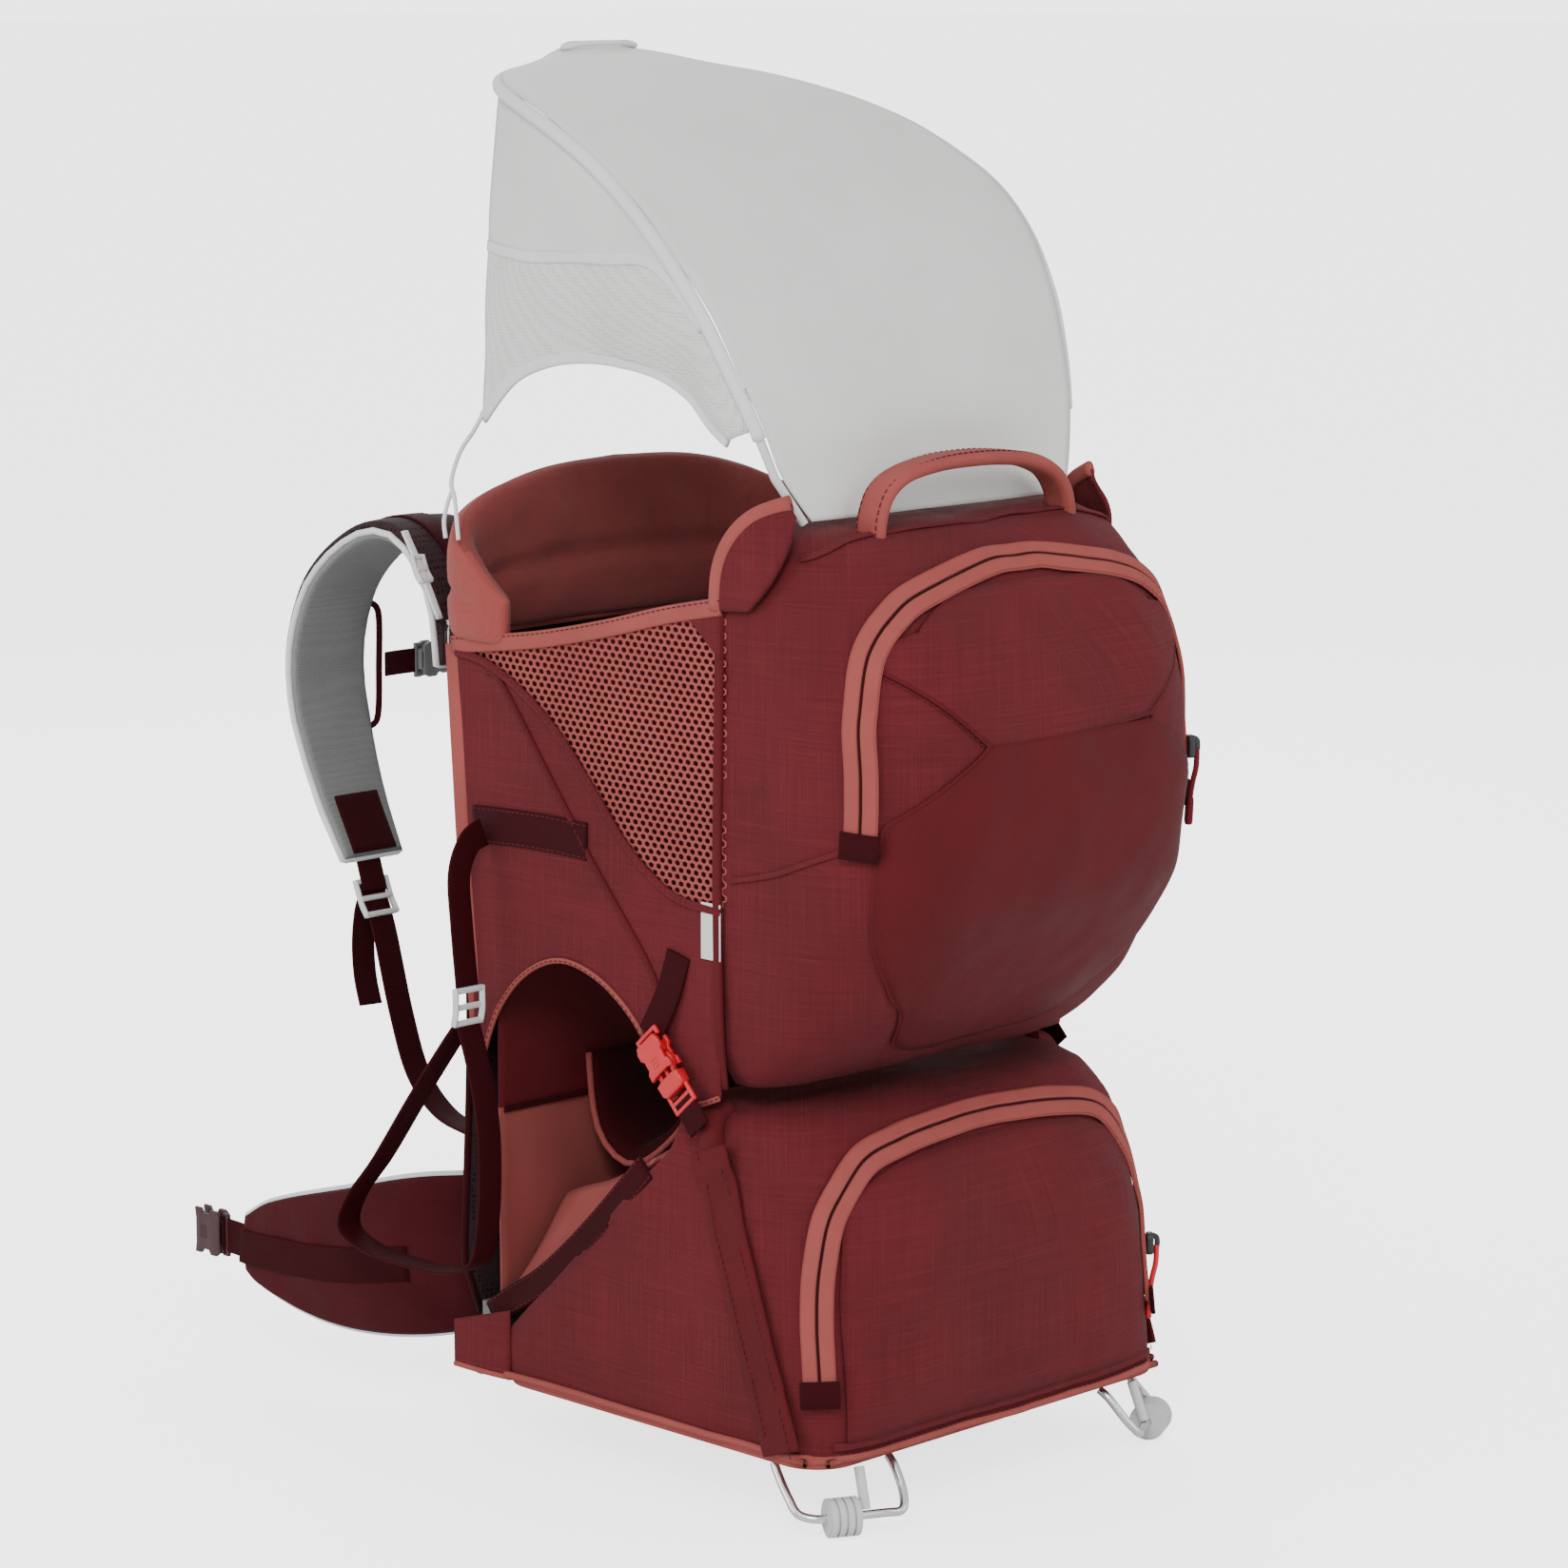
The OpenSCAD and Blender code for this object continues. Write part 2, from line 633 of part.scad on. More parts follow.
// ---- Stirrups ----
stirrup_x = -cockpit_half - 38;
stirrup_top = [-38, 426];
stirrup_loop = [[-50, 300], [-66, 232], [-64, 160], [-52, 128], [0, 120], [56, 122], [84, 134],
                [60, 172], [0, 250], [-42, 300]];
module stirrup(s) {
    color(dark_burgundy) on_side(s) yz_plate(stirrup_x, stirrup_x + webbing_w) {
        band([stirrup_top, [-40, 380], [-46, 326]], 3);
        band(stirrup_loop, 3);
    }
}
module stirrup_left() { stirrup(-1); }
module stirrup_right() { stirrup(1); }
module stirrup_lock(s) {
    color(pale_grey) on_side(s) translate([stirrup_x - 2, -53, 303]) cube([webbing_w + 4, 12, 22]);
}
module stirrup_lock_left() { stirrup_lock(-1); }
module stirrup_lock_right() { stirrup_lock(1); }

back_frame();
cross_bars();
rear_skid();
hinge_brackets();
hinge_pins();
back_panel();
torso_track();
lumbar_pad();
collar_pad();
side_panel_left();
side_panel_right();
base_frame();
base_board();
stand_wires();
foot_left();
foot_right();
foot_struts();
lower_bag();
lower_pocket();
lower_zip_track();
lower_zip_slider();
strut_frame();
strut_pins();
top_bag();
top_pocket();
top_zip_track();
top_zip_slider();
ears();
grab_handle();
child_harness();
child_seat();
shade_hoop();
shade_canopy();
shade_curtain_left();
shade_curtain_right();
shade_pull_loop();
shade_tethers();
shoulder_yoke();
shoulder_strap_left();
shoulder_strap_right();
strap_ladder_locks();
strap_webbing_left();
strap_webbing_right();
load_lifters();
sternum_rails();
sternum_buckle_socket();
sternum_buckle_prong();
hip_wing_left();
hip_wing_right();
hip_webbing_left();
hip_webbing_right();
hip_buckle_socket();
hip_buckle_prong();
leg_buckle_sockets();
leg_buckle_prong_left();
leg_buckle_prong_right();
stirrup_left();
stirrup_right();
stirrup_lock_left();
stirrup_lock_right();
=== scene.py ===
import bisect
import math

import bmesh
import bpy
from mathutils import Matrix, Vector, noise


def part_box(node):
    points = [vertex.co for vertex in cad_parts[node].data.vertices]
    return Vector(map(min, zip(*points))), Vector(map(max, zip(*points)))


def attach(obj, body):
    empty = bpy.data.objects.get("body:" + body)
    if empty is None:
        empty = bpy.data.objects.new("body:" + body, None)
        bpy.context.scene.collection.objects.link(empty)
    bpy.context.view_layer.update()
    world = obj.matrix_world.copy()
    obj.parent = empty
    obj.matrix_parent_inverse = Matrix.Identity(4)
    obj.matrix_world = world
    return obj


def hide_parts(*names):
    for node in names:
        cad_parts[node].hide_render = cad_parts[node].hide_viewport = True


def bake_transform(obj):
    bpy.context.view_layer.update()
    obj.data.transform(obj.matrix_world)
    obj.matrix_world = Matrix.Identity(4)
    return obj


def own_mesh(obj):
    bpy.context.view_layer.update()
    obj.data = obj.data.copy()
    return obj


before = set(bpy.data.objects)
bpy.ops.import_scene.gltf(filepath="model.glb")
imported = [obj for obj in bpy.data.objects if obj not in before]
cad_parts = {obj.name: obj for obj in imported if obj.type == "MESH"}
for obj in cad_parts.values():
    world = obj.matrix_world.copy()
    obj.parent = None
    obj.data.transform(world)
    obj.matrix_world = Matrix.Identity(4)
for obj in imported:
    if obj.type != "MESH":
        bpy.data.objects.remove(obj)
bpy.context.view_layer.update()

MM = 0.001
SIDES = {"left": -1, "right": 1}


def mm(x, y, z):
    return Vector((x, y, z)) * MM


def span(node):
    """A CAD node's lowest and highest corner in millimetres."""
    low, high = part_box(node)
    return low / MM, high / MM


# ---------------------------------------------------------------- camera

TARGET = mm(-29.6, -185, 463.9)
AZIMUTH, ELEVATION = math.radians(-45.3), math.radians(9.8)
DISTANCE, LENS = 3.4286, 115.3

camera_data = bpy.data.cameras.new("camera")
camera_data.lens = LENS
camera_data.sensor_width = 36
camera = bpy.data.objects.new("camera", camera_data)
bpy.context.scene.collection.objects.link(camera)
offset = Vector((math.sin(AZIMUTH) * math.cos(ELEVATION), -math.cos(AZIMUTH) * math.cos(ELEVATION),
                 math.sin(ELEVATION)))
camera.location = TARGET + offset * DISTANCE
camera.rotation_euler = offset.to_track_quat("Z", "Y").to_euler()
bpy.context.scene.camera = camera


# ---------------------------------------------------------------- materials

class Shader:
    """A Principled material with short calls for its procedural nodes."""

    def __init__(self, name, roughness, metallic=0.0, sheen=0.0, coat=0.0, specular=0.5):
        self.material = bpy.data.materials.new(name)
        self.material.use_nodes = True
        self.tree = self.material.node_tree
        self.shader = self.tree.nodes["Principled BSDF"]
        self.shader.inputs["Metallic"].default_value = metallic
        self.shader.inputs["Sheen Weight"].default_value = sheen
        self.shader.inputs["Sheen Roughness"].default_value = 0.5
        self.shader.inputs["Coat Weight"].default_value = coat
        self.shader.inputs["Specular IOR Level"].default_value = specular
        self.shader.inputs["Roughness"].default_value = roughness
        self.point = self.add("ShaderNodeTexCoord").outputs["Object"]

    def add(self, kind, **values):
        node = self.tree.nodes.new(kind)
        for key, value in values.items():
            setattr(node, key, value)
        return node

    def put(self, socket, value):
        if isinstance(value, bpy.types.NodeSocket):
            self.tree.links.new(value, socket)
        elif value is not None:
            socket.default_value = value

    def math(self, operation, a, b=None, clamp=False):
        node = self.add("ShaderNodeMath", operation=operation, use_clamp=clamp)
        self.put(node.inputs[0], a)
        self.put(node.inputs[1], b)
        return node.outputs[0]

    def vector(self, x, y, z):
        node = self.add("ShaderNodeCombineXYZ")
        for socket, value in zip(node.inputs, (x, y, z)):
            self.put(socket, value)
        return node.outputs[0]

    def noise(self, vector, scale=1.0, detail=2.0, rough=0.5):
        node = self.add("ShaderNodeTexNoise")
        self.put(node.inputs["Vector"], vector)
        node.inputs["Scale"].default_value = scale
        node.inputs["Detail"].default_value = detail
        node.inputs["Roughness"].default_value = rough
        return node.outputs["Fac"]

    def stretch(self, value, low, high, to_low=0.0, to_high=1.0):
        node = self.add("ShaderNodeMapRange", interpolation_type="SMOOTHSTEP")
        for socket, number in zip(node.inputs, (value, low, high, to_low, to_high)):
            self.put(socket, number)
        return node.outputs[0]

    def mix(self, share, a, b):
        node = self.add("ShaderNodeMix", data_type="RGBA")
        self.put(node.inputs["Factor"], share)
        self.put(node.inputs["A"], a)
        self.put(node.inputs["B"], b)
        return node.outputs["Result"]

    def finish(self, colour, height=None, strength=0.3, distance=0.001, roughness=None):
        self.put(self.shader.inputs["Base Color"], colour)
        self.put(self.shader.inputs["Roughness"], roughness)
        if height is not None:
            bump = self.add("ShaderNodeBump")
            bump.inputs["Strength"].default_value = strength
            bump.inputs["Distance"].default_value = distance
            self.put(bump.inputs["Height"], height)
            self.put(self.shader.inputs["Normal"], bump.outputs[0])
        return self.material

    def cloth_axes(self):
        """Two directions in the cloth: round the carrier, and up it."""
        parts = self.add("ShaderNodeSeparateXYZ")
        self.put(parts.inputs[0], self.point)
        across = self.math("ADD", self.math("ABSOLUTE", parts.outputs[0]), parts.outputs[1])
        return across, parts.outputs[2]


def rgba(colour):
    return (*colour, 1.0)


def shade(colour, by):
    return rgba([min(1.0, c * by) for c in colour])


def woven(name, colour, pitch=1.5, slub=0.0, patch=0.1, roughness=0.75, sheen=0.02, depth=0.35):
    """Woven cloth: crossing threads and slow patches. slub adds long irregular threads both ways."""
    s = Shader(name, roughness, sheen=sheen, specular=0.08)
    u, v = s.cloth_axes()
    turn = 2 * math.pi / (pitch * MM)
    warp = s.math("SINE", s.math("MULTIPLY", u, turn))
    weft = s.math("SINE", s.math("MULTIPLY", v, turn))
    weave = s.math("MULTIPLY", warp, weft)
    slow = s.stretch(s.noise(s.point, 14, 3), 0.3, 0.7)
    base = s.mix(slow, shade(colour, 1 - patch), shade(colour, 1 + patch))
    base = s.mix(s.stretch(weave, -1, 1, 0.0, 0.12), base, shade(colour, 0.6))
    height = weave
    if slub:
        down = s.noise(s.vector(s.math("MULTIPLY", u, 560), s.math("MULTIPLY", v, 13), 0.0), 1, 2)
        along = s.noise(s.vector(s.math("MULTIPLY", u, 13), s.math("MULTIPLY", v, 560), 7.0), 1, 2)
        light = s.math("MAXIMUM", s.stretch(down, 0.55, 0.68), s.stretch(along, 0.55, 0.68))
        dark = s.math("MAXIMUM", s.stretch(down, 0.45, 0.33), s.stretch(along, 0.45, 0.33))
        base = s.mix(s.math("MULTIPLY", light, slub), base, shade(colour, 1.5))
        base = s.mix(s.math("MULTIPLY", dark, slub), base, shade(colour, 0.6))
        height = s.math("ADD", weave, s.math("MULTIPLY", light, 1.2))
    return s.finish(base, height, depth, 0.0006,
                    s.stretch(slow, 0, 1, roughness - 0.06, roughness + 0.06))


def ribbed(name, colour, pitch=1.8, roughness=0.7):
    """Webbing or zip tape: ribs across with a darker ground."""
    s = Shader(name, roughness, specular=0.08)
    u, v = s.cloth_axes()
    wave = s.math("SINE", s.math("MULTIPLY", s.math("ADD", u, v), 2 * math.pi / (pitch * MM)))
    cross = s.math("SINE", s.math("MULTIPLY", s.math("SUBTRACT", u, v), 2 * math.pi / (pitch * MM)))
    ribs = s.math("MAXIMUM", wave, cross)
    base = s.mix(s.stretch(ribs, -0.5, 1), shade(colour, 0.7), shade(colour, 1.15))
    base = s.mix(s.stretch(s.noise(s.point, 60, 2), 0.35, 0.7, 0, 0.3), base, shade(colour, 0.8))
    return s.finish(base, ribs, 0.35, 0.0006)


def knitted(name, colour, pitch=2.2, dark=0.45, roughness=0.85, sheen=0.05, holes=0.5):
    """Knitted or spacer mesh: rows of small pits."""
    s = Shader(name, roughness, sheen=sheen, specular=0.08)
    cells = s.add("ShaderNodeTexVoronoi")
    s.put(cells.inputs["Vector"], s.point)
    cells.inputs["Scale"].default_value = 1 / (pitch * MM)
    cells.inputs["Randomness"].default_value = 0.25
    pit = s.stretch(cells.outputs["Distance"], 0.15, 0.5)
    base = s.mix(s.math("MULTIPLY", s.math("SUBTRACT", 1.0, pit), holes), rgba(colour), shade(colour, dark))
    base = s.mix(s.stretch(s.noise(s.point, 18, 3), 0.35, 0.7, 0, 0.25), base, shade(colour, 0.75))
    return s.finish(base, pit, 0.4, 0.0006)


def moulded(name, colour, roughness=0.4, coat=0.0, wear=0.15):
    """Moulded plastic: fine spark-eroded grain and lighter rubbed spots."""
    s = Shader(name, roughness, coat=coat)
    grain = s.noise(s.point, 900, 3)
    rubbed = s.stretch(s.noise(s.point, 45, 4), 0.55, 0.75, 0, wear)
    base = s.mix(rubbed, rgba(colour), shade(colour, 1.5))
    return s.finish(base, grain, 0.15, 0.0004, s.stretch(grain, 0.3, 0.7, roughness - 0.08, roughness + 0.1))


def metal(name, colour, roughness=0.3):
    """Satin metal with drawn streaks and faint smudges."""
    s = Shader(name, roughness, metallic=1.0)
    u, v = s.cloth_axes()
    streaks = s.noise(s.vector(s.math("MULTIPLY", u, 900), s.math("MULTIPLY", v, 40), 0.0), 1, 2)
    smudge = s.stretch(s.noise(s.point, 30, 3), 0.35, 0.75)
    base = s.mix(smudge, shade(colour, 0.92), shade(colour, 1.05))
    return s.finish(base, streaks, 0.12, 0.0003, s.stretch(streaks, 0.3, 0.7, roughness - 0.08,
                                                           roughness + 0.12))


BURGUNDY = (0.106, 0.0135, 0.0175)
PANEL = (0.090, 0.0085, 0.0115)
DARK = (0.032, 0.0018, 0.0036)
SALMON = (0.300, 0.070, 0.062)
# The collar cloth's colour here is darkened with painted shade, for the collar's inward faces.
COLLAR_SHADED = (0.205, 0.044, 0.041)
LINER = (0.270, 0.066, 0.060)
GREY = (0.680, 0.682, 0.668)
PALE = (0.740, 0.750, 0.745)

main_cloth = woven("main_cloth", BURGUNDY, slub=0.3)
hip_cloth = woven("hip_cloth", (0.056, 0.0060, 0.0090), pitch=1.3, slub=0.15)
panel_cloth = woven("panel_cloth", PANEL, pitch=1.2, roughness=0.62)
dark_cloth = woven("dark_cloth", DARK, pitch=1.3)
liner_cloth = woven("liner_cloth", LINER, pitch=1.3, roughness=0.6)
trim_cloth = woven("trim_cloth", SALMON, pitch=1.1, depth=0.4)
# Two copies of one collar cloth: the first darkened with painted shade for the inward faces, the second
# lightened with painted light for the outward faces.
collar_shaded_cloth = knitted("collar_shaded_cloth", COLLAR_SHADED, pitch=1.6, holes=0.25, sheen=0.1)
collar_lit_cloth = knitted("collar_lit_cloth", (0.270, 0.058, 0.050), pitch=1.6, holes=0.2, sheen=0.1)
net_cord = woven("net_cord", SALMON, pitch=0.9)
shade_cloth = woven("shade_cloth", GREY, pitch=1.1, patch=0.03, roughness=0.65, depth=0.2)
shade_mesh = knitted("shade_mesh", GREY, pitch=2.4, dark=0.55, holes=0.6)
shade_edge = woven("shade_edge", PALE, pitch=1.0, patch=0.03)
binding_grey = woven("binding_grey", PALE, pitch=1.0, patch=0.04)
inner_grey = knitted("inner_grey", (0.20, 0.205, 0.205), pitch=2.0, dark=0.6)
black_mesh = knitted("black_mesh", (0.035, 0.018, 0.020), pitch=4.0, dark=0.2, holes=0.9)
webbing = ribbed("webbing", DARK)
zip_tape = ribbed("zip_tape", SALMON, pitch=1.2)
zip_coil = woven("zip_coil", (0.030, 0.0040, 0.0055), pitch=2.0)
thread = woven("thread", (0.11, 0.015, 0.020), pitch=0.6)
red_plastic = moulded("red_plastic", (0.50, 0.008, 0.014), 0.36, wear=0.0)
grey_plastic = moulded("grey_plastic", (0.15, 0.155, 0.16), 0.42)
pale_plastic = moulded("pale_plastic", (0.58, 0.59, 0.59), 0.4)
dark_plastic = moulded("dark_plastic", (0.034, 0.0045, 0.0080), 0.45, wear=0.05)
black_plastic = moulded("black_plastic", (0.018, 0.018, 0.019), 0.45)
burgundy_cord = woven("burgundy_cord", (0.16, 0.014, 0.022), pitch=0.8)
black_rubber = moulded("black_rubber", (0.02, 0.02, 0.02), 0.7)
grey_rubber = moulded("grey_rubber", (0.55, 0.56, 0.56), 0.5)
tube_metal = metal("tube_metal", (0.62, 0.63, 0.65), 0.35)
wire_metal = metal("wire_metal", (0.72, 0.73, 0.74), 0.22)
tag_cloth = woven("tag_cloth", (0.70, 0.70, 0.68), pitch=0.8, patch=0.05)


# ---------------------------------------------------------------- mesh tools

def smooth(points, per=6, closed=False):
    """A curve through the points."""
    pts = [Vector(p) for p in points]
    count = len(pts)
    pick = (lambda i: pts[i % count]) if closed else (lambda i: pts[max(0, min(i, count - 1))])
    out = []
    for i in range(count if closed else count - 1):
        a, b, c, d = (pick(i + k) for k in (-1, 0, 1, 2))
        for k in range(per):
            t = k / per
            out.append(0.5 * (2 * b + (c - a) * t + (2 * a - 5 * b + 4 * c - d) * t * t
                              + (3 * b - a - 3 * c + d) * t ** 3))
    return out if closed else out + [pts[-1]]


def profile(points):
    """A smooth function through (place, value) points, level beyond its ends."""
    def value(z):
        if z <= points[0][0]:
            return points[0][1]
        if z >= points[-1][0]:
            return points[-1][1]
        i = max(k for k in range(len(points) - 1) if points[k][0] <= z)
        (z0, a), (z1, b) = points[i], points[i + 1]
        before, after = points[max(i - 1, 0)], points[min(i + 2, len(points) - 1)]
        slope_a = (b - before[1]) / (z1 - before[0])
        slope_b = (after[1] - a) / (after[0] - z0)
        t, h = (z - z0) / (z1 - z0), z1 - z0
        return ((2 * t ** 3 - 3 * t * t + 1) * a + (t ** 3 - 2 * t * t + t) * h * slope_a
                + (3 * t * t - 2 * t ** 3) * b + (t ** 3 - t * t) * h * slope_b)
    return value


def letter(edge):
    """The name of a band's lower (-1) or upper (1) edge."""
    return "a" if edge < 0 else "b"


def lerp(a, b, t):
    return a + (b - a) * t


def steps(low, high, count):
    return [lerp(low, high, k / count) for k in range(count + 1)]


def piece(name, form, material, body, slot, face_material=None, others=()):
    """A mesh piece, made from a form (vertices and faces), that rides on a body."""
    verts, faces = form
    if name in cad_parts:
        name += "_piece"
    mesh = bpy.data.meshes.new(name)
    mesh.from_pydata([tuple(v) for v in verts], [], faces)
    mesh.materials.append(material)
    for other in others:
        mesh.materials.append(other)
    bm = bmesh.new()
    bm.from_mesh(mesh)
    bmesh.ops.remove_doubles(bm, verts=bm.verts, dist=1e-6)
    bmesh.ops.recalc_face_normals(bm, faces=bm.faces)
    bm.to_mesh(mesh)
    bm.free()
    for polygon in mesh.polygons:
        polygon.use_smooth = True
        if face_material:
            polygon.material_index = face_material(polygon.center / MM, polygon.normal)
    obj = bpy.data.objects.new(name, mesh)
    bpy.context.scene.collection.objects.link(obj)
    if body:
        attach(obj, body)
    return obj


def skin(rows, closed=False, capped=False):
    """Faces over rows of points. A closed row meets itself, and caps fill the first and last row."""
    cols = len(rows[0])
    verts = [v for row in rows for v in row]
    faces = []
    for i in range(len(rows) - 1):
        for j in range(cols if closed else cols - 1):
            k = (j + 1) % cols
            faces.append((i * cols + j, i * cols + k, (i + 1) * cols + k, (i + 1) * cols + j))
    if capped:
        for base in (0, (len(rows) - 1) * cols):
            centre = sum((verts[base + j] for j in range(cols)), Vector()) / cols
            verts.append(centre)
            faces += [(base + j, base + (j + 1) % cols, len(verts) - 1) for j in range(cols)]
    return verts, faces


def sheet_skin(rows, thickness):
    """A closed skin over an open grid of points, thickness metres thick, centred on the grid."""
    count, cols = len(rows), len(rows[0])

    def normal(i, j):
        along = rows[min(i + 1, count - 1)][j] - rows[max(i - 1, 0)][j]
        across = rows[i][min(j + 1, cols - 1)] - rows[i][max(j - 1, 0)]
        return along.cross(across).normalized()

    rings = []
    for i, row in enumerate(rows):
        up = [p + normal(i, j) * thickness / 2 for j, p in enumerate(row)]
        down = [p - normal(i, j) * thickness / 2 for j, p in enumerate(row)]
        rings.append(up + down[::-1])
    verts, faces = skin(rings, closed=True)
    last = (count - 1) * cols * 2
    for start in (0, last):
        faces += [(start + j, start + j + 1, start + 2 * cols - 2 - j, start + 2 * cols - 1 - j)
                  for j in range(cols - 1)]
    return verts, faces


def sweep(points, outline, normals=None, closed=False):
    """Sweeps a 2-D outline along points. Its first axis lies across, its second along the normal."""
    count = len(points)
    rows, carried = [], None
    for i, p in enumerate(points):
        ahead = points[(i + 1) % count] if closed or i + 1 < count else p
        back = points[i - 1] if closed or i else p
        t = (ahead - back).normalized()
        if normals:
            n = normals[i] - t * normals[i].dot(t)
        else:
            carried = carried or (Vector((0, 0, 1)) if abs(t.z) < 0.9 else Vector((1, 0, 0)))
            n = carried - t * carried.dot(t)
            carried = n.normalized()
        n.normalize()
        across = t.cross(n)
        rows.append([p + across * a + n * b for a, b in outline])
    if closed:
        return skin(rows + [rows[0]], closed=True)
    return skin(rows, closed=True, capped=True)


def circle(radius, sides=10):
    return [(radius * math.cos(2 * math.pi * k / sides), radius * math.sin(2 * math.pi * k / sides))
            for k in range(sides)]


def flat_section(width, thickness, across=4):
    """A flat strap's section with soft edges."""
    w, t = width / 2, thickness / 2
    top = [(lerp(-w + t, w - t, k / across), t) for k in range(across + 1)]
    low = [(a, -t) for a, _ in reversed(top)]
    return top + [(w - t * 0.3, t * 0.7), (w, 0), (w - t * 0.3, -t * 0.7)] + low + [
        (-w + t * 0.3, -t * 0.7), (-w, 0), (-w + t * 0.3, t * 0.7)]


def tube(name, points, radius, material, body, slot, per=6, closed=False, sides=10):
    path = [Vector(p) * MM for p in smooth(points, per, closed)]
    return piece(name, sweep(path, circle(radius * MM, sides), closed=closed), material, body, slot)


def ribbon(name, path, normals, width, thickness, material, body, slot, across=4):
    """A flat band along a path in millimetres. Its broad side faces the normals, one or one for each."""
    if isinstance(normals, Vector):
        normals = [normals] * len(path)
    section = flat_section(width * MM, thickness * MM, across)
    return piece(name, sweep([p * MM for p in path], section, normals), material, body, slot)


def strap(name, points, normals, width, thickness, material, body, slot, per=6):
    """A ribbon along a smooth curve through the points."""
    if not isinstance(normals, Vector):
        normals = smooth(normals, per)
    return ribbon(name, smooth(points, per), normals, width, thickness, material, body, slot)


def block(corners_low, corners_high, bevel=1.5):
    """Vertices and faces of a box with rounded edges, sizes in millimetres."""
    bm = bmesh.new()
    bmesh.ops.create_cube(bm, size=1)
    low, high = Vector(corners_low), Vector(corners_high)
    for v in bm.verts:
        v.co = Vector(lerp(low[k], high[k], v.co[k] + 0.5) for k in range(3)) * MM
    bmesh.ops.bevel(bm, geom=bm.edges[:], offset=bevel * MM, segments=3, profile=0.5, affect="EDGES")
    verts = [v.co.copy() for v in bm.verts]
    faces = [tuple(v.index for v in f.verts) for f in bm.faces]
    bm.free()
    return verts, faces


def merged(parts):
    """Several (verts, faces) as one."""
    verts, faces = [], []
    for part_verts, part_faces in parts:
        start = len(verts)
        verts += part_verts
        faces += [tuple(start + i for i in face) for face in part_faces]
    return verts, faces


def moved(part, by):
    verts, faces = part
    return [v + by for v in verts], faces


def wrinkle(point, scale, depth, seed=0.0):
    """A smooth random height in millimetres at a point in millimetres."""
    return depth * noise.noise(Vector((point[0] * scale + seed, point[1] * scale, point[2] * scale - seed)))


def grid(place, across, along):
    """Rows of points place(u, v) in metres, with u across each row and v from row to row."""
    return [[place(u, v) * MM for u in steps(0, 1, across)] for v in steps(0, 1, along)]


def sheet_piece(name, place, across, along, thickness, material, body, slot):
    return piece(name, sheet_skin(grid(place, across, along), thickness * MM), material, body, slot)


def facing(place, u, v, step=0.02):
    """The normal of place(u, v)."""
    du = place(min(u + step, 1), v) - place(max(u - step, 0), v)
    dv = place(u, min(v + step, 1)) - place(u, max(v - step, 0))
    return du.cross(dv).normalized()


def pad(name, place, thickness, across, along, materials, body, slot, offset=0.0, power=5.0, crease=None,
        ripple=0.6):
    """A stuffed pad about place(u, v), full in the middle and rounded at its rim.
    materials is one for its face along the normal and one for its back. crease(u, v) pulls the pad in."""
    def ease(t):
        return 0.5 * t + 0.25 * (1 - math.cos(math.pi * t))

    def swell(t):
        return (1 - abs(2 * t - 1) ** power) ** (1 / power)

    rings = []
    for v in steps(0, 1, along):
        up, down = [], []
        for u in steps(0, 1, across):
            u, w = ease(u), ease(v)
            p, n = place(u, w), facing(place, u, w)
            half = thickness / 2 * swell(u) * swell(w)
            if crease:
                half *= 1 - crease(u, w)
            bump = wrinkle(p, 0.035, ripple, 3.0) * swell(u) * swell(w)
            up.append((p + n * (half + offset + bump)) * MM)
            down.append((p - n * (half - offset - bump)) * MM)
        rings.append(up + down[::-1])
    obj = piece(name, skin(rings, closed=True), materials[0], body, slot, others=materials[1:])
    if len(materials) > 1:
        for polygon in obj.data.polygons:
            centre = polygon.center / MM
            u, v = closest(place, centre)
            polygon.material_index = 0 if (centre - place(u, v)).dot(facing(place, u, v)) > offset else 1
    return obj


def closest(place, p, rough=12):
    """The (u, v) of the place nearest to a point."""
    spots = [(u, v) for u in steps(0, 1, rough) for v in steps(0, 1, rough)]
    return min(spots, key=lambda s: (place(*s) - p).length_squared)


def rim(name, place, radius, material, body, slot, offset=0.0, edges=(0, 1, 2, 3), inset=0.0, sides=8):
    """Piping round the edge of place(u, v)."""
    a, b, n = inset, 1 - inset, 24
    loops = [[(lerp(a, b, t), a) for t in steps(0, 1, n)], [(b, lerp(a, b, t)) for t in steps(0, 1, n)],
             [(lerp(b, a, t), b) for t in steps(0, 1, n)], [(a, lerp(b, a, t)) for t in steps(0, 1, n)]]
    spots = [spot for k in edges for spot in loops[k][:-1 if len(edges) == 4 else None]]
    path = [(place(u, v) + facing(place, u, v) * offset) * MM for u, v in spots]
    closed = len(edges) == 4
    return piece(name, sweep(path, circle(radius * MM, sides), closed=closed), material, body, slot)


def stitches(name, path, normals, material, body, slot, length=3.0, gap=2.0, radius=0.45, lift=0.3):
    """A line of stitches along a path in millimetres."""
    reach = [0.0]
    for a, b in zip(path, path[1:]):
        reach.append(reach[-1] + (b - a).length)
    parts = []
    for start in steps(0, reach[-1] - length, max(1, int(reach[-1] / (length + gap)))):
        ends = []
        for share, sink in ((0, 0.4), (0.15, 0), (0.85, 0), (1, 0.4)):
            want = start + share * length
            k = min(max(bisect.bisect_right(reach, want) - 1, 0), len(path) - 2)
            spot = path[k].lerp(path[k + 1], (want - reach[k]) / max(reach[k + 1] - reach[k], 1e-6))
            ends.append((spot + normals[k] * (lift - sink)) * MM)
        parts.append(sweep(ends, circle(radius * MM, 5)))
    return piece(name, merged(parts), material, body, slot)


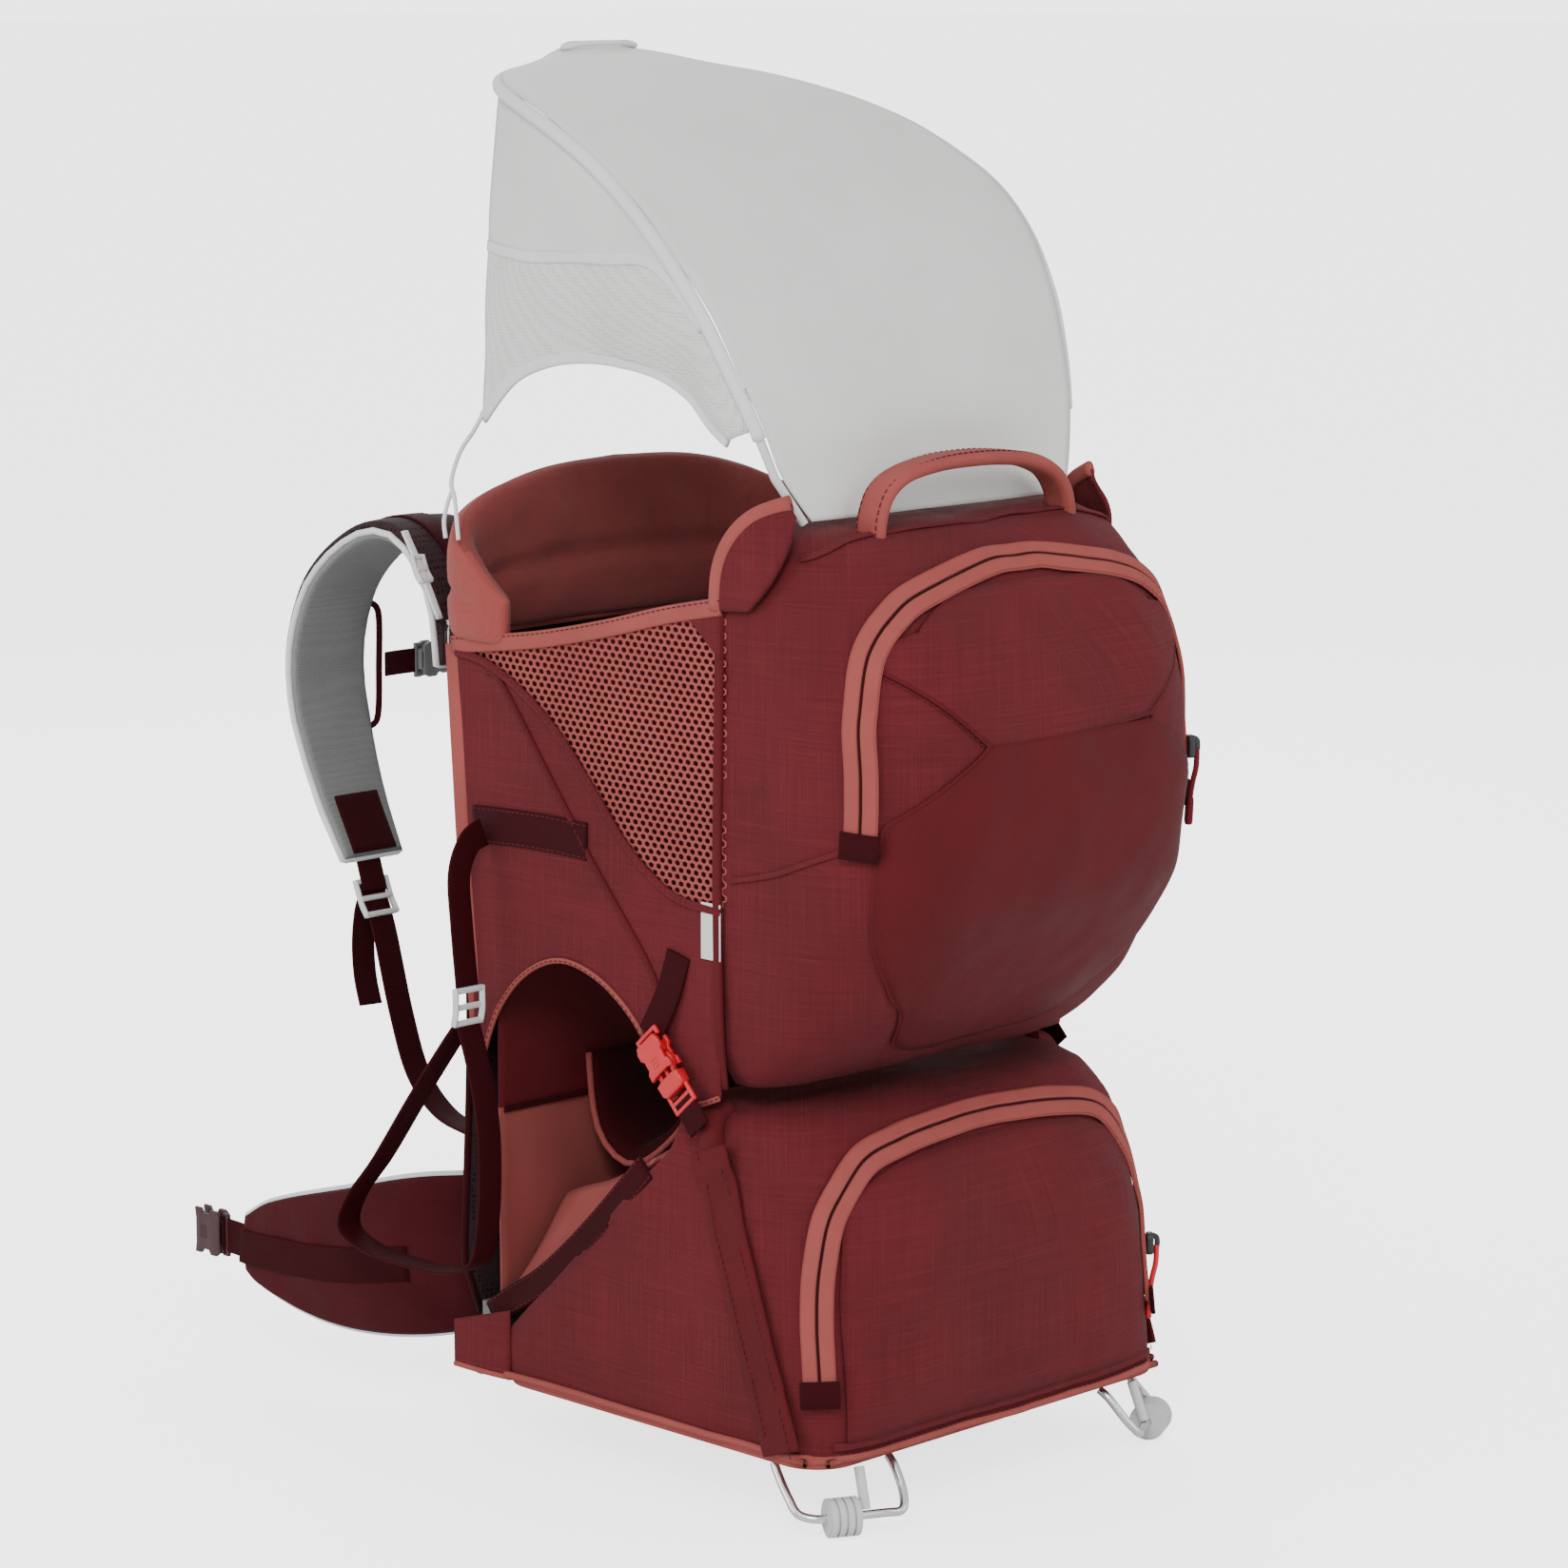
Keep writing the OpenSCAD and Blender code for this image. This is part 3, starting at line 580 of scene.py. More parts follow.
def extruded(outline, thickness, bevel=1.0):
    """A plate with a rounded rim from a flat outline in millimetres, centred on its own plane."""
    bm = bmesh.new()
    low = [bm.verts.new(Vector((x, y, -thickness / 2)) * MM) for x, y in outline]
    face = bm.faces.new(low)
    top = bmesh.ops.extrude_face_region(bm, geom=[face])["geom"]
    bmesh.ops.translate(bm, vec=(0, 0, thickness * MM),
                        verts=[g for g in top if isinstance(g, bmesh.types.BMVert)])
    edges = [e for e in bm.edges if abs(e.verts[0].co.z - e.verts[1].co.z) < 1e-7]
    bmesh.ops.bevel(bm, geom=edges, offset=bevel * MM, segments=2, profile=0.5, affect="EDGES")
    bmesh.ops.triangulate(bm, faces=[f for f in bm.faces if len(f.verts) > 4])
    part = [v.co.copy() for v in bm.verts], [tuple(v.index for v in f.verts) for f in bm.faces]
    bm.free()
    return part


def rounded_outline(width, height, radius, segments=4, centre=(0, 0)):
    spots = []
    for cx, cy, start in ((1, 1, 0), (-1, 1, 90), (-1, -1, 180), (1, -1, 270)):
        for k in range(segments + 1):
            angle = math.radians(start + 90 * k / segments)
            spots.append((centre[0] + cx * (width / 2 - radius) + radius * math.cos(angle),
                          centre[1] + cy * (height / 2 - radius) + radius * math.sin(angle)))
    return spots


# ---------------------------------------------------------------- the bags

SLOPE_STEP = 0.6


class Bag:
    """A soft bag: at each height a rounded outline in plan that bulges away from the wearer."""

    def __init__(self, centre, depth, width, power, back, seed):
        self.centre, self.seed = centre, seed
        self.depth, self.width, self.power, self.back = map(profile, (depth, width, power, back))

    def level(self, p):
        n = self.power(p.z)
        deep = max(0.0, self.centre - p.y) / self.depth(p.z)
        return (abs(p.x) / self.width(p.z)) ** n + deep ** n

    def slope(self, p):
        """How much the level rises along each axis over a millimetre."""
        rises = []
        for axis in range(3):
            d = Vector([SLOPE_STEP if k == axis else 0 for k in range(3)])
            rises.append((self.level(p + d) - self.level(p - d)) / (2 * SLOPE_STEP))
        return Vector(rises)

    def normal(self, p):
        return self.slope(p).normalized()

    def lift(self, p, out):
        soft = wrinkle(p, 0.013, 3.2, self.seed) + wrinkle(p, 0.04, 1.1, self.seed + 9)
        return p + self.normal(p) * (out + soft)

    def hug(self, p, out):
        """The point on the bag nearest to p, lifted by out."""
        for _ in range(4):
            slope = self.slope(p)
            p = p - slope * ((self.level(p) - 1) / slope.length_squared)
        return self.lift(p, out)

    def front(self, x, z, out=0.0):
        n = self.power(z)
        share = min(abs(x) / self.width(z), 0.9995)
        return self.lift(Vector((x, self.centre - self.depth(z) * (1 - share ** n) ** (1 / n), z)), out)

    def side(self, sign, y, z, out=0.0):
        n = self.power(z)
        share = min(max(0.0, self.centre - y) / self.depth(z), 0.9995)
        return self.lift(Vector((sign * self.width(z) * (1 - share ** n) ** (1 / n), y, z)), out)

    def outline(self, z, count=90, back=10):
        n, w, d = self.power(z), self.width(z), self.depth(z)
        dense = []
        for k in range(241):
            a = math.pi * k / 240
            c, s = math.cos(a), math.sin(a)
            dense.append(Vector((w * math.copysign(abs(c) ** (2 / n), c), self.centre - d * s ** (2 / n), z)))
        rear = self.back(z)
        walls = [Vector((w, lerp(rear, self.centre, t), z)) for t in steps(0, 0.9, 5)]
        ring = walls + even(dense, count) + [Vector((-p.x, p.y, z)) for p in reversed(walls)]
        ring = [self.lift(p, 0.0) for p in ring]
        first, end = ring[-1], ring[0]
        return ring + [first.lerp(end, k / back) for k in range(1, back)]

    def skin(self, low, high, pitch):
        count = round((high - low) / pitch)
        rows = [[p * MM for p in self.outline(z)] for z in steps(low, high, count)]
        return skin(rows, closed=True, capped=True)

    def along(self, path, per=8, out=0.0):
        """Points and normals on the bag along a smooth line of (x, z) spots."""
        spots = smooth([(x, 0, z) for x, z in path], per)
        points = [self.front(s.x, s.z, out) for s in spots]
        return points, [self.normal(self.front(s.x, s.z)) for s in spots]


def even(points, count):
    """The same line with evenly spaced points."""
    reach = [0.0]
    for a, b in zip(points, points[1:]):
        reach.append(reach[-1] + (b - a).length)
    out, k = [], 0
    for want in steps(0, reach[-1], count):
        while k < len(points) - 2 and reach[k + 1] < want:
            k += 1
        gap = reach[k + 1] - reach[k]
        out.append(points[k].lerp(points[k + 1], (want - reach[k]) / gap if gap else 0))
    return out


def panel(name, bag, half, low, high, out, puff, material, body, slot, across=40, along=36):
    """A sewn panel on a bag. half(v) is its half width, low(x) and high(x) its lower and upper edge."""
    def place(u, v):
        x = (2 * u - 1) * half(v)
        z = lerp(low(x), high(x), v)
        swell = puff * (1 - (2 * u - 1) ** 4) * (1 - (2 * v - 1) ** 4)
        return bag.front(x, z, out + swell)
    return sheet_piece(name, place, across, along, 2.0, material, body, slot)


def seam(name, bag, path, material, body, slot, radius=1.3, stitched=True):
    """Two cloths sewn together: a narrow raised fold with a line of stitches below it."""
    points, normals = bag.along(path, 8, 1.2)
    fold = ribbon(name, points, normals, 2 * radius * 2, radius * 1.4, material, body, slot)
    if stitched:
        low, n = bag.along([(x, z - 5) for x, z in path], 8, 1.4)
        line = stitches(name + "_stitches", low, n, thread, body, slot)
        return [fold, line]
    return [fold]


def zip_line(name, bag, path, body, tape_slot, width=23):
    """A covered zip round a bag: tape, a strip each side of the closed coil, and a tab over each end."""
    points, normals = bag.along(path, 10, 2.6)
    cross = [c.normalized() for c in cross_of(points, normals)]

    def strip(low_side, high_side, out, thickness):
        rows = [[bag.hug(p + c * a, out) * MM for a in steps(low_side, high_side, 6)]
                for p, c in zip(points, cross)]
        return sheet_skin(rows, thickness * MM)

    tape = piece(name + "_tape", strip(-width / 2, width / 2, 2.6, 1.6), zip_tape, body, tape_slot)
    raised = [(p + n * 0.9) * MM for p, n in zip(points, normals)]
    made = [tape, piece(name + "_coil", sweep(raised, flat_section(1.8 * MM, 0.8 * MM), normals), zip_coil,
                        body, "zip_pull")]
    for side, ends in (("a", (1.0 - width / 2, -1.2)), ("b", (1.2, width / 2 - 1.0))):
        made.append(piece(f"{name}_flap_{side}", strip(*ends, 3.6, 1.8), zip_tape, body, tape_slot))
    for label, k in (("start", 0), ("end", len(points) - 1)):
        n = normals[k]
        down = (points[k] - points[k + (1 if k == 0 else -1)]).normalized()
        tab = [(points[k] + n * 2.2 + down * d) * MM for d in (-9, -3, 3, 9)]
        made.append(piece(f"{name}_garage_{label}", sweep(tab, flat_section((width + 4) * MM, 2.6 * MM, 6),
                                                          [n] * 4), dark_cloth, body, "dark_fabric"))
    return made


def cross_of(points, normals):
    out = []
    for k, n in enumerate(normals):
        ahead = points[min(k + 1, len(points) - 1)] - points[max(k - 1, 0)]
        out.append(ahead.cross(n))
    return out


top = Bag(-262,
          [(284, 30), (300, 54), (325, 84), (350, 108), (412, 148), (450, 158), (490, 162), (548, 156),
           (603, 128), (625, 110), (640, 94), (652, 72), (658, 45)],
          [(284, 150), (300, 160), (330, 165), (590, 165), (625, 157), (645, 146), (658, 125)],
          [(284, 4), (658, 4)], [(284, -259), (658, -259)], 2.0)
low = Bag(-225,
          [(44, 134), (50, 141), (105, 141), (170, 137), (215, 130), (238, 124), (258, 108), (268, 92),
           (273, 60)],
          [(44, 172), (50, 176), (170, 174), (238, 169), (258, 163), (268, 154), (273, 130)],
          [(44, 8), (105, 7), (170, 5.5), (238, 4.5), (273, 3.6)],
          [(44, -40), (66, -46), (140, -119), (215, -193), (240, -218), (273, -222)], 11.0)

TOP_ZIP = [(-154, 462), (-154, 500), (-153, 545), (-143, 586), (-118, 610), (-80, 622), (-30, 631), (0, 632)]
TOP_ZIP += [(-x, z) for x, z in reversed(TOP_ZIP[:-1])]
TOP_V = [(-141, 575), (-112, 552), (-82, 525), (-76, 522), (0, 523), (68, 528), (74, 532), (112, 556),
         (141, 577)]
LOW_ZIP = [(-163, 96), (-161, 140), (-155, 180), (-143, 214), (-118, 240), (-80, 249), (-30, 253), (0, 254)]
LOW_ZIP += [(-x, z) for x, z in reversed(LOW_ZIP[:-1])]

top_bag = piece("top_bag", top.skin(286, 657, 4.6), main_cloth, "cockpit", "main_fabric")
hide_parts("top_bag")

v_edge = profile(TOP_V)
PANEL_HALF = [(0, 80), (0.05, 98), (0.12, 114), (0.3, 139), (0.5, 147), (0.72, 146), (0.76, 142), (1, 77)]
panel_half = profile(PANEL_HALF)


def panel_low(x):
    return 304 + 13 * (min(abs(x), 98) / 80) ** 4


def panel_spot(side, v):
    x = side * panel_half(v)
    return x, lerp(panel_low(x), 524, v)


lower_panel = panel("top_lower_panel", top, panel_half, panel_low, lambda x: 524, 1.5, 3.0, panel_cloth,
                    "cockpit", "main_fabric", along=44)
upper_panel = panel("top_upper_panel", top, profile([(0, 141), (0.5, 143), (0.8, 132), (1, 112)]),
                    v_edge, lambda x: 619 - 22 * min(1, abs(x / 112)) ** 4, 1.4, 1.0, main_cloth, "cockpit",
                    "main_fabric", along=20)
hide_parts("top_pocket")

top_zip = zip_line("top_zip", top, TOP_ZIP, "cockpit", "trim_fabric")
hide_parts("top_zip_track")
seam("top_v_seam", top, TOP_V, panel_cloth, "cockpit", "main_fabric")
for label, sign in SIDES.items():
    seam("top_panel_seam_" + label, top, [panel_spot(sign, v) for v in steps(0, 0.74, 14)]
         + [panel_spot(sign, v) for v in steps(0.78, 1, 4)], panel_cloth, "cockpit", "main_fabric",
         stitched=False)
seam("top_panel_seam_low", top, [(x, panel_low(x)) for x in steps(-80, 80, 8)], panel_cloth, "cockpit",
     "main_fabric", stitched=False)
seam("top_edge_seam", top, [(-146, 640), (-111, 651), (-60, 654), (0, 654), (60, 654), (111, 651),
                            (146, 640)], main_cloth, "cockpit", "main_fabric", stitched=False)
for label, sign in SIDES.items():
    spots = smooth([(sign, -272, 427), (sign, -310, 436), (sign, -344, 449), (sign, -372, 460)], 8)
    points = [top.side(sign, s.y, s.z, 1.0) for s in spots]
    ribbon("top_side_seam_" + label, points, [top.normal(p) for p in points], 4, 1.8, main_cloth, "cockpit",
           "main_fabric")

# On the real carrier the lower bag flattens onto its board as the base folds up; here its pieces are only
# listed in squashed.
squashed = []
lower_bag = piece("lower_bag", low.skin(50.5, 272, 4.5), main_cloth, "base", "main_fabric",
                  lambda centre, normal: 1 if normal.y > 0.3 and centre.z < 262 else 0, [liner_cloth])
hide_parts("lower_bag")
squashed.append(lower_bag)
low_top = profile([(-140, 208), (-120, 226), (-80, 238), (0, 242), (80, 238), (120, 226), (140, 208)])
lower_pocket = panel("lower_pocket", low, profile([(0, 150), (0.6, 148), (1, 138)]),
                     lambda x: 62.0, low_top, 1.5, 7.0, main_cloth, "base", "main_fabric", along=26)
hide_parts("lower_pocket")
squashed.append(lower_pocket)
lower_zip = zip_line("lower_zip", low, LOW_ZIP, "base", "trim_fabric")
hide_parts("lower_zip_track")
squashed += lower_zip
squashed += seam("lower_hem", low, [(-158, 60), (-100, 60), (0, 60), (100, 60), (158, 60)], main_cloth,
                 "base", "main_fabric")
# Each strut runs up inside a flat sleeve, and a hood on the strut covers its bend.
STRUT_RADIUS = 5
strut_x = span("strut_frame")[1].x - STRUT_RADIUS
for label, sign in SIDES.items():
    spots = smooth([(0, -258, 246), (0, -272, 208), (0, -296, 144), (0, -320, 82), (0, -330, 54)], 8)
    points = []
    for s in spots:
        p = low.side(sign, s.y, s.z, 2.0)
        over = 12.0 * min(1, max(0, (116 - s.z) / 26)) + 8.0 * min(1, max(0, (s.z - 205) / 26))
        points.append(Vector((sign * max(abs(p.x), strut_x + over), p.y, p.z)))
    along = [Vector((sign, 0, 0))] * len(points)
    squashed.append(ribbon("strut_sleeve_" + label, points, along, 34, 3.2, panel_cloth, "base",
                           "main_fabric", 6))
    for edge in (-1, 1):
        line = [p + Vector((sign * 1.8, edge * 12, edge * 5)) for p in points[2:-2]]
        squashed.append(stitches(f"strut_sleeve_stitches_{label}_{letter(edge)}", line, along,
                                 thread, "base", "main_fabric"))
    bend = [(sign * (strut_x + 0.5), -262, 232), (sign * (strut_x + 0.5), -255, 250),
            (sign * (strut_x - 5), -251, 262), (sign * (strut_x - 17), -250, 267)]
    ring = [(a * 1.15 * MM, b * MM) for a, b in circle(8.4, 16)]
    piece("strut_hood_" + label, sweep([p * MM for p in smooth(bend, 6)], ring), panel_cloth, "strut",
          "main_fabric")


# ---------------------------------------------------------------- frame and stand

# The CAD nodes that are shown as they are.
SHOWN = {"back_frame": tube_metal, "cross_bars": tube_metal, "base_frame": tube_metal,
         "strut_frame": tube_metal, "hinge_pins": wire_metal, "strut_pins": wire_metal,
         "rear_skid": black_rubber, "foot_left": grey_rubber, "foot_right": grey_rubber,
         "hinge_brackets": grey_plastic, "foot_struts": pale_plastic, "shade_hoop": pale_plastic,
         "torso_track": black_plastic, "base_board": trim_cloth}
for node, material in SHOWN.items():
    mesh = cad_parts[node].data
    mesh.materials.clear()
    mesh.materials.append(material)

for label, sign in SIDES.items():
    outer, inner = Vector((sign * 176, -352, 13)), Vector((sign * 118, -382, 13))
    tube("stand_wire_" + label, [
        (sign * 171, -316, 43), (sign * 173, -322, 36), (sign * 176, -334, 24), (sign * 177, -344, 15.5),
        outer.lerp(inner, 0.1), outer.lerp(inner, 0.36), outer.lerp(inner, 0.8), (sign * 119, -383, 14.5),
        (sign * 112, -377, 24), (sign * 108, -366, 37), (sign * 106, -358, 43)], 3, wire_metal, "base",
        "stand_wire", per=8, sides=12)
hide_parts("stand_wires")

board_low, board_high = span("base_board")
edge = [Vector((x, y + (board_low.y + board_high.y) / 2, board_high.z + 1)) for x, y in rounded_outline(
    board_high.x - board_low.x - 2, board_high.y - board_low.y - 2, 30, 8)]
tube("base_piping", edge, 2.6, trim_cloth, "base", "trim_fabric", per=2, closed=True)

foot_side = [low.side(-1, y, 52, 1.5) for y in steps(-60, -340, 28)]
foot_front = [low.front(x, 52, 1.5) for x in steps(-150, 150, 24)]
foot_far = [low.side(1, y, 52, 1.5) for y in steps(-340, -60, 28)]
tube("lower_bag_piping", foot_side + foot_front + foot_far, 2.4, trim_cloth, "base", "trim_fabric", per=2)

for label, sign in SIDES.items():
    def cover_place(u, v, sign=sign):
        y = lerp(-64, -10, u)
        return Vector((sign * (179.5 - 3 * (1 - u) ** 4), y, lerp(50, 98 - 16 * u, v)))
    cover = sheet_piece("hinge_cover_" + label, cover_place, 12, 12, 2.0, main_cloth, "base", "main_fabric")
    edge = [cover_place(u, 0) for u in steps(0, 1, 10)]
    tube("hinge_cover_piping_" + label, edge, 2.2, trim_cloth, "base", "trim_fabric", per=1)

# ---------------------------------------------------------------- side panels

ARCH = [(-24, 236), (-29, 266), (-46, 306), (-76, 337), (-112, 351), (-150, 343), (-181, 322), (-202, 296),
        (-216, 276), (-240, 272), (-262, 280)]
NET_LOW = [(-6, 551), (-36, 547), (-74, 531), (-112, 504), (-144, 472), (-175, 439), (-201, 419), (-227, 408),
           (-264, 405)]
NET_TOP = [(-2, 556), (-43, 561), (-100, 570), (-160, 583), (-215, 597), (-264, 607)]
BAND = [(-24, 434), (-60, 436), (-100, 437), (-138, 436)]
SUB_SEAM = [(-38, 541), (-50, 538), (-82, 500), (-120, 452), (-143, 422), (-191, 368), (-214, 330)]


def line_at(points):
    """A function from 0 to 1 along a smooth line of (y, z) spots."""
    fine = even(smooth([(0, y, z) for y, z in points], 10), 60)

    def at(t):
        k = min(int(t * 60), 59)
        return fine[k].lerp(fine[k + 1], t * 60 - k)
    return at


arch_at, net_low_at, net_at = line_at(ARCH), line_at(NET_LOW), line_at(NET_TOP)
band_at, sub_at = line_at(BAND), line_at(SUB_SEAM)


def side_spot(sign, y, z, out=0.0):
    """A point on the softly bowed side cloth."""
    bow = 3.5 * math.sin(math.pi * min(1, max(0, -y / 260))) + wrinkle((sign * 50, y, z), 0.02, 1.6)
    return Vector((sign * (166.5 + bow * 0.6 + out), y, z))


def side_place(sign, low_line, high_line, out=0.0):
    def place(u, v):
        p = low_line(u).lerp(high_line(u), v)
        return side_spot(sign, p.y, p.z, out)
    return place


def inside(y, z, ring):
    hit = False
    for (y0, z0), (y1, z1) in zip(ring, ring[1:] + ring[:1]):
        if (z0 > z) != (z1 > z) and y < (y1 - y0) * (z - z0) / (z1 - z0) + y0:
            hit = not hit
    return hit


def netting(name, sign, ring, cell, body):
    """Knotless net: a hexagonal mesh of real holes inside a ring of (y, z) spots."""
    wide, tall = cell, cell * 0.87
    ys, zs = [p[0] for p in ring], [p[1] for p in ring]
    verts, faces = [], []
    for j in range(int((max(zs) - min(zs)) / (tall * 0.75)) + 1):
        for i in range(int((max(ys) - min(ys)) / wide) + 1):
            cy = min(ys) + wide * (i + 0.5 * (j % 2))
            cz = min(zs) + tall * 0.75 * j
            if not inside(cy, cz, ring):
                continue
            start = len(verts)
            for size in (1.0, 0.66):
                for k in range(6):
                    a = math.radians(60 * k + 30)
                    y = cy + size * wide / math.sqrt(3) * math.cos(a)
                    z = cz + size * tall / 2 * math.sin(a)
                    verts.append(side_spot(sign, y, z) * MM)
            faces += [(start + k, start + (k + 1) % 6, start + 6 + (k + 1) % 6, start + 6 + k)
                      for k in range(6)]
    obj = piece(name, (verts, faces), net_cord, body, "trim_fabric")
    bm = bmesh.new()
    bm.from_mesh(obj.data)
    bmesh.ops.remove_doubles(bm, verts=bm.verts, dist=0.0004)
    bmesh.ops.solidify(bm, geom=bm.faces[:] + bm.edges[:] + bm.verts[:], thickness=1.0 * MM)
    bm.to_mesh(obj.data)
    bm.free()
    return obj


# On the real carrier the side panels gather towards the back frame as the cockpit slides in; here their
# pieces are only listed in gathered.
gathered = []
for label, sign in SIDES.items():
    cloth = side_place(sign, arch_at, net_low_at)
    panel_piece = sheet_piece("side_panel_" + label, cloth, 60, 40, 2.0, main_cloth, "frame", "main_fabric")
    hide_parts("side_panel_" + label)
    gathered.append(panel_piece)
    gathered.append(netting("side_net_" + label, sign, NET_LOW + NET_TOP[::-1], 7.0, "frame"))
    corner = side_place(sign, line_at([(-236, 596), (-264, 572)]), line_at([(-236, 600), (-264, 606)]), 1.0)
    corner_piece = sheet_piece("side_corner_" + label, corner, 8, 8, 2.0, main_cloth, "frame", "main_fabric")
    gathered.append(corner_piece)
    for part, line, material, width, slot in (("arch", arch_at, trim_cloth, 4, "trim_fabric"),
                                              ("band", band_at, dark_cloth, 26, "dark_fabric"),
                                              ("hem", net_low_at, main_cloth, 6, "main_fabric"),
                                              ("fold", sub_at, panel_cloth, 5, "main_fabric"),
                                              ("top", net_at, trim_cloth, 12, "trim_fabric")):
        place = side_place(sign, line, line, 1.6)
        path = [place(t, 0) for t in steps(0, 1, 48)]
        gathered.append(ribbon(f"side_{part}_{label}", path, Vector((sign, 0, 0)), width, 3, material,
                               "frame", slot))
        for edge in ((-1, 1) if part == "band" else (1,)):
            shift = Vector((0, 0, edge * (width / 2 - 2)))
            gathered.append(stitches(f"side_{part}_stitches_{label}_{letter(edge)}",
                                     [p + shift for p in path], [Vector((sign, 0, 0))] * 49, thread, "frame",
                                     slot, lift=1.6))
    line = [(sign * x, y, z) for x, y, z in ((165, -24, 236), (166, -20, 310), (167, -12, 400),
                                             (167, -7, 470), (166, 0, 556))]
    gathered.append(strap("side_back_edge_" + label, line, Vector((sign, 0, 0)), 14, 3, trim_cloth, "frame",
                          "trim_fabric"))
    line = [(sign * x, y, z) for x, y, z in ((166, -262, 606), (167, -261, 520), (167.5, -260, 420),
                                             (167, -261, 330), (164, -262, 286))]
    strap("column_binding_" + label, line, Vector((sign, 0, 0)), 8, 4, panel_cloth, "cockpit", "main_fabric")
    piece("care_tag_" + label, block((sign * 168.6 - 0.5, -264, 372), (sign * 168.6 + 0.5, -246, 410), 0.4),
          tag_cloth, "cockpit", "shade_cloth")

# The liner hangs before the back frame. A sloping wing runs in from each side of the lower bag.
def liner_place(u, v):
    x, z = (2 * u - 1) * 163, lerp(96, 560, v)
    return Vector((x, -39.5 - 2.0 * abs(wrinkle((x, 0, z), 0.012, 1, 4)), z))


liner = sheet_piece("liner", liner_place, 44, 60, 1.6, panel_cloth, "frame", "dark_fabric")
liner.data.materials.append(liner_cloth)
for polygon in liner.data.polygons:
    polygon.material_index = 1 if polygon.center.z < 0.234 else 0
strap("liner_seam", [(-160, -42, 234), (-80, -42.5, 234), (0, -42.5, 234), (80, -42.5, 234), (160, -42, 234)],
      Vector((0, -1, 0)), 5, 1.6, dark_cloth, "frame", "dark_fabric")

WING_EDGE = [(-45, 96), (-65, 110), (-94, 128), (-121, 150), (-147, 174), (-170, 197), (-200, 228)]
wing_edge = line_at(WING_EDGE)
for label, sign in SIDES.items():
    def slope_place(u, v, sign=sign):
        edge = wing_edge(v)
        rise = Vector((58, -4 + 8 * v, 66 * (1 - v) ** 0.7 + 4))
        p = Vector((168, edge.y, edge.z)) + Vector((-rise.x, rise.y, rise.z)) * u
        sag = 5 * math.sin(math.pi * u)
        return Vector((sign * p.x, min(p.y, -43), p.z - sag))
    wing = sheet_piece("liner_wing_" + label, slope_place, 16, 30, 1.6, liner_cloth, "base", "trim_fabric")
    squashed.append(wing)
    edge = [Vector((sign * 171, wing_edge(t).y + 5, wing_edge(t).z - 6)) for t in steps(0, 1, 30)]
    squashed.append(ribbon("edge_band_" + label, edge, Vector((sign, 0, 0)), 19, 3.4, dark_cloth, "base",
                           "dark_fabric", 6))
    for k in (-1, 1):
        line = [p + Vector((0, k * 5, k * 5.5)) for p in edge]
        squashed.append(stitches(f"edge_band_stitches_{label}_{letter(k)}", line,
                                 [Vector((sign, 0, 0))] * 31, thread, "base", "dark_fabric", lift=1.8))

# ---------------------------------------------------------------- back panel and harness

def back_place(u, v):
    line = profile([(72, 4), (180, -4), (310, -9), (442, -1), (548, 6)])
    z = lerp(78, 546, v)
    half = 160 if z > 120 else lerp(140, 160, (z - 72) / 48)
    x = (2 * u - 1) * half
    return Vector((x, line(z) + 2 * (x / 160) ** 2, z))


back_panel = pad("back_panel", back_place, 8, 30, 50, [black_mesh, dark_cloth], "frame", "dark_fabric",
                 power=9)
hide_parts("back_panel")
rim("back_panel_binding", back_place, 2.6, dark_cloth, "frame", "dark_fabric")


def lumbar_place(u, v):
    x, z = (2 * u - 1) * 82, lerp(62, 183, v)
    return Vector((x, 20 + 3 * (1 - (x / 82) ** 2), z))


lumbar = pad("lumbar_pad", lumbar_place, 20, 28, 22, [black_mesh, dark_cloth], "frame", "dark_fabric",
             crease=lambda u, v: 0.35 * math.exp(-((abs(2 * u - 1) - 0.45) / 0.05) ** 2))
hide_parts("lumbar_pad")
rim("lumbar_binding", lumbar_place, 2.2, binding_grey, "frame", "dark_fabric", inset=0.01)


def yoke_place(u, v):
    z = lerp(420, 566, v)
    half = lerp(52, 60, v / 0.62) if v < 0.62 else lerp(60, 143, min(1, (v - 0.62) / 0.22))
    return Vector(((2 * u - 1) * half, 33.5, z))


yoke = pad("shoulder_yoke", yoke_place, 11, 34, 26, [black_mesh, dark_cloth], "harness", "dark_fabric",
           power=7)
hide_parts("shoulder_yoke")
rim("yoke_binding", yoke_place, 2.2, binding_grey, "harness", "dark_fabric", inset=0.01)

STRAP = [(42, 534), (48, 576), (66, 606), (92, 622), (122, 620), (156, 602), (184, 574), (200, 536),
         (202, 500), (192, 460), (176, 420), (154, 380)]
strap_at = line_at(STRAP)


def strap_place(sign):
    def place(u, v):
        p = strap_at(v)
        half = 34 - 7 * max(0, v - 0.75) / 0.25
        return Vector((sign * 110 + sign * (2 * u - 1) * half, p.y, p.z))
    return place


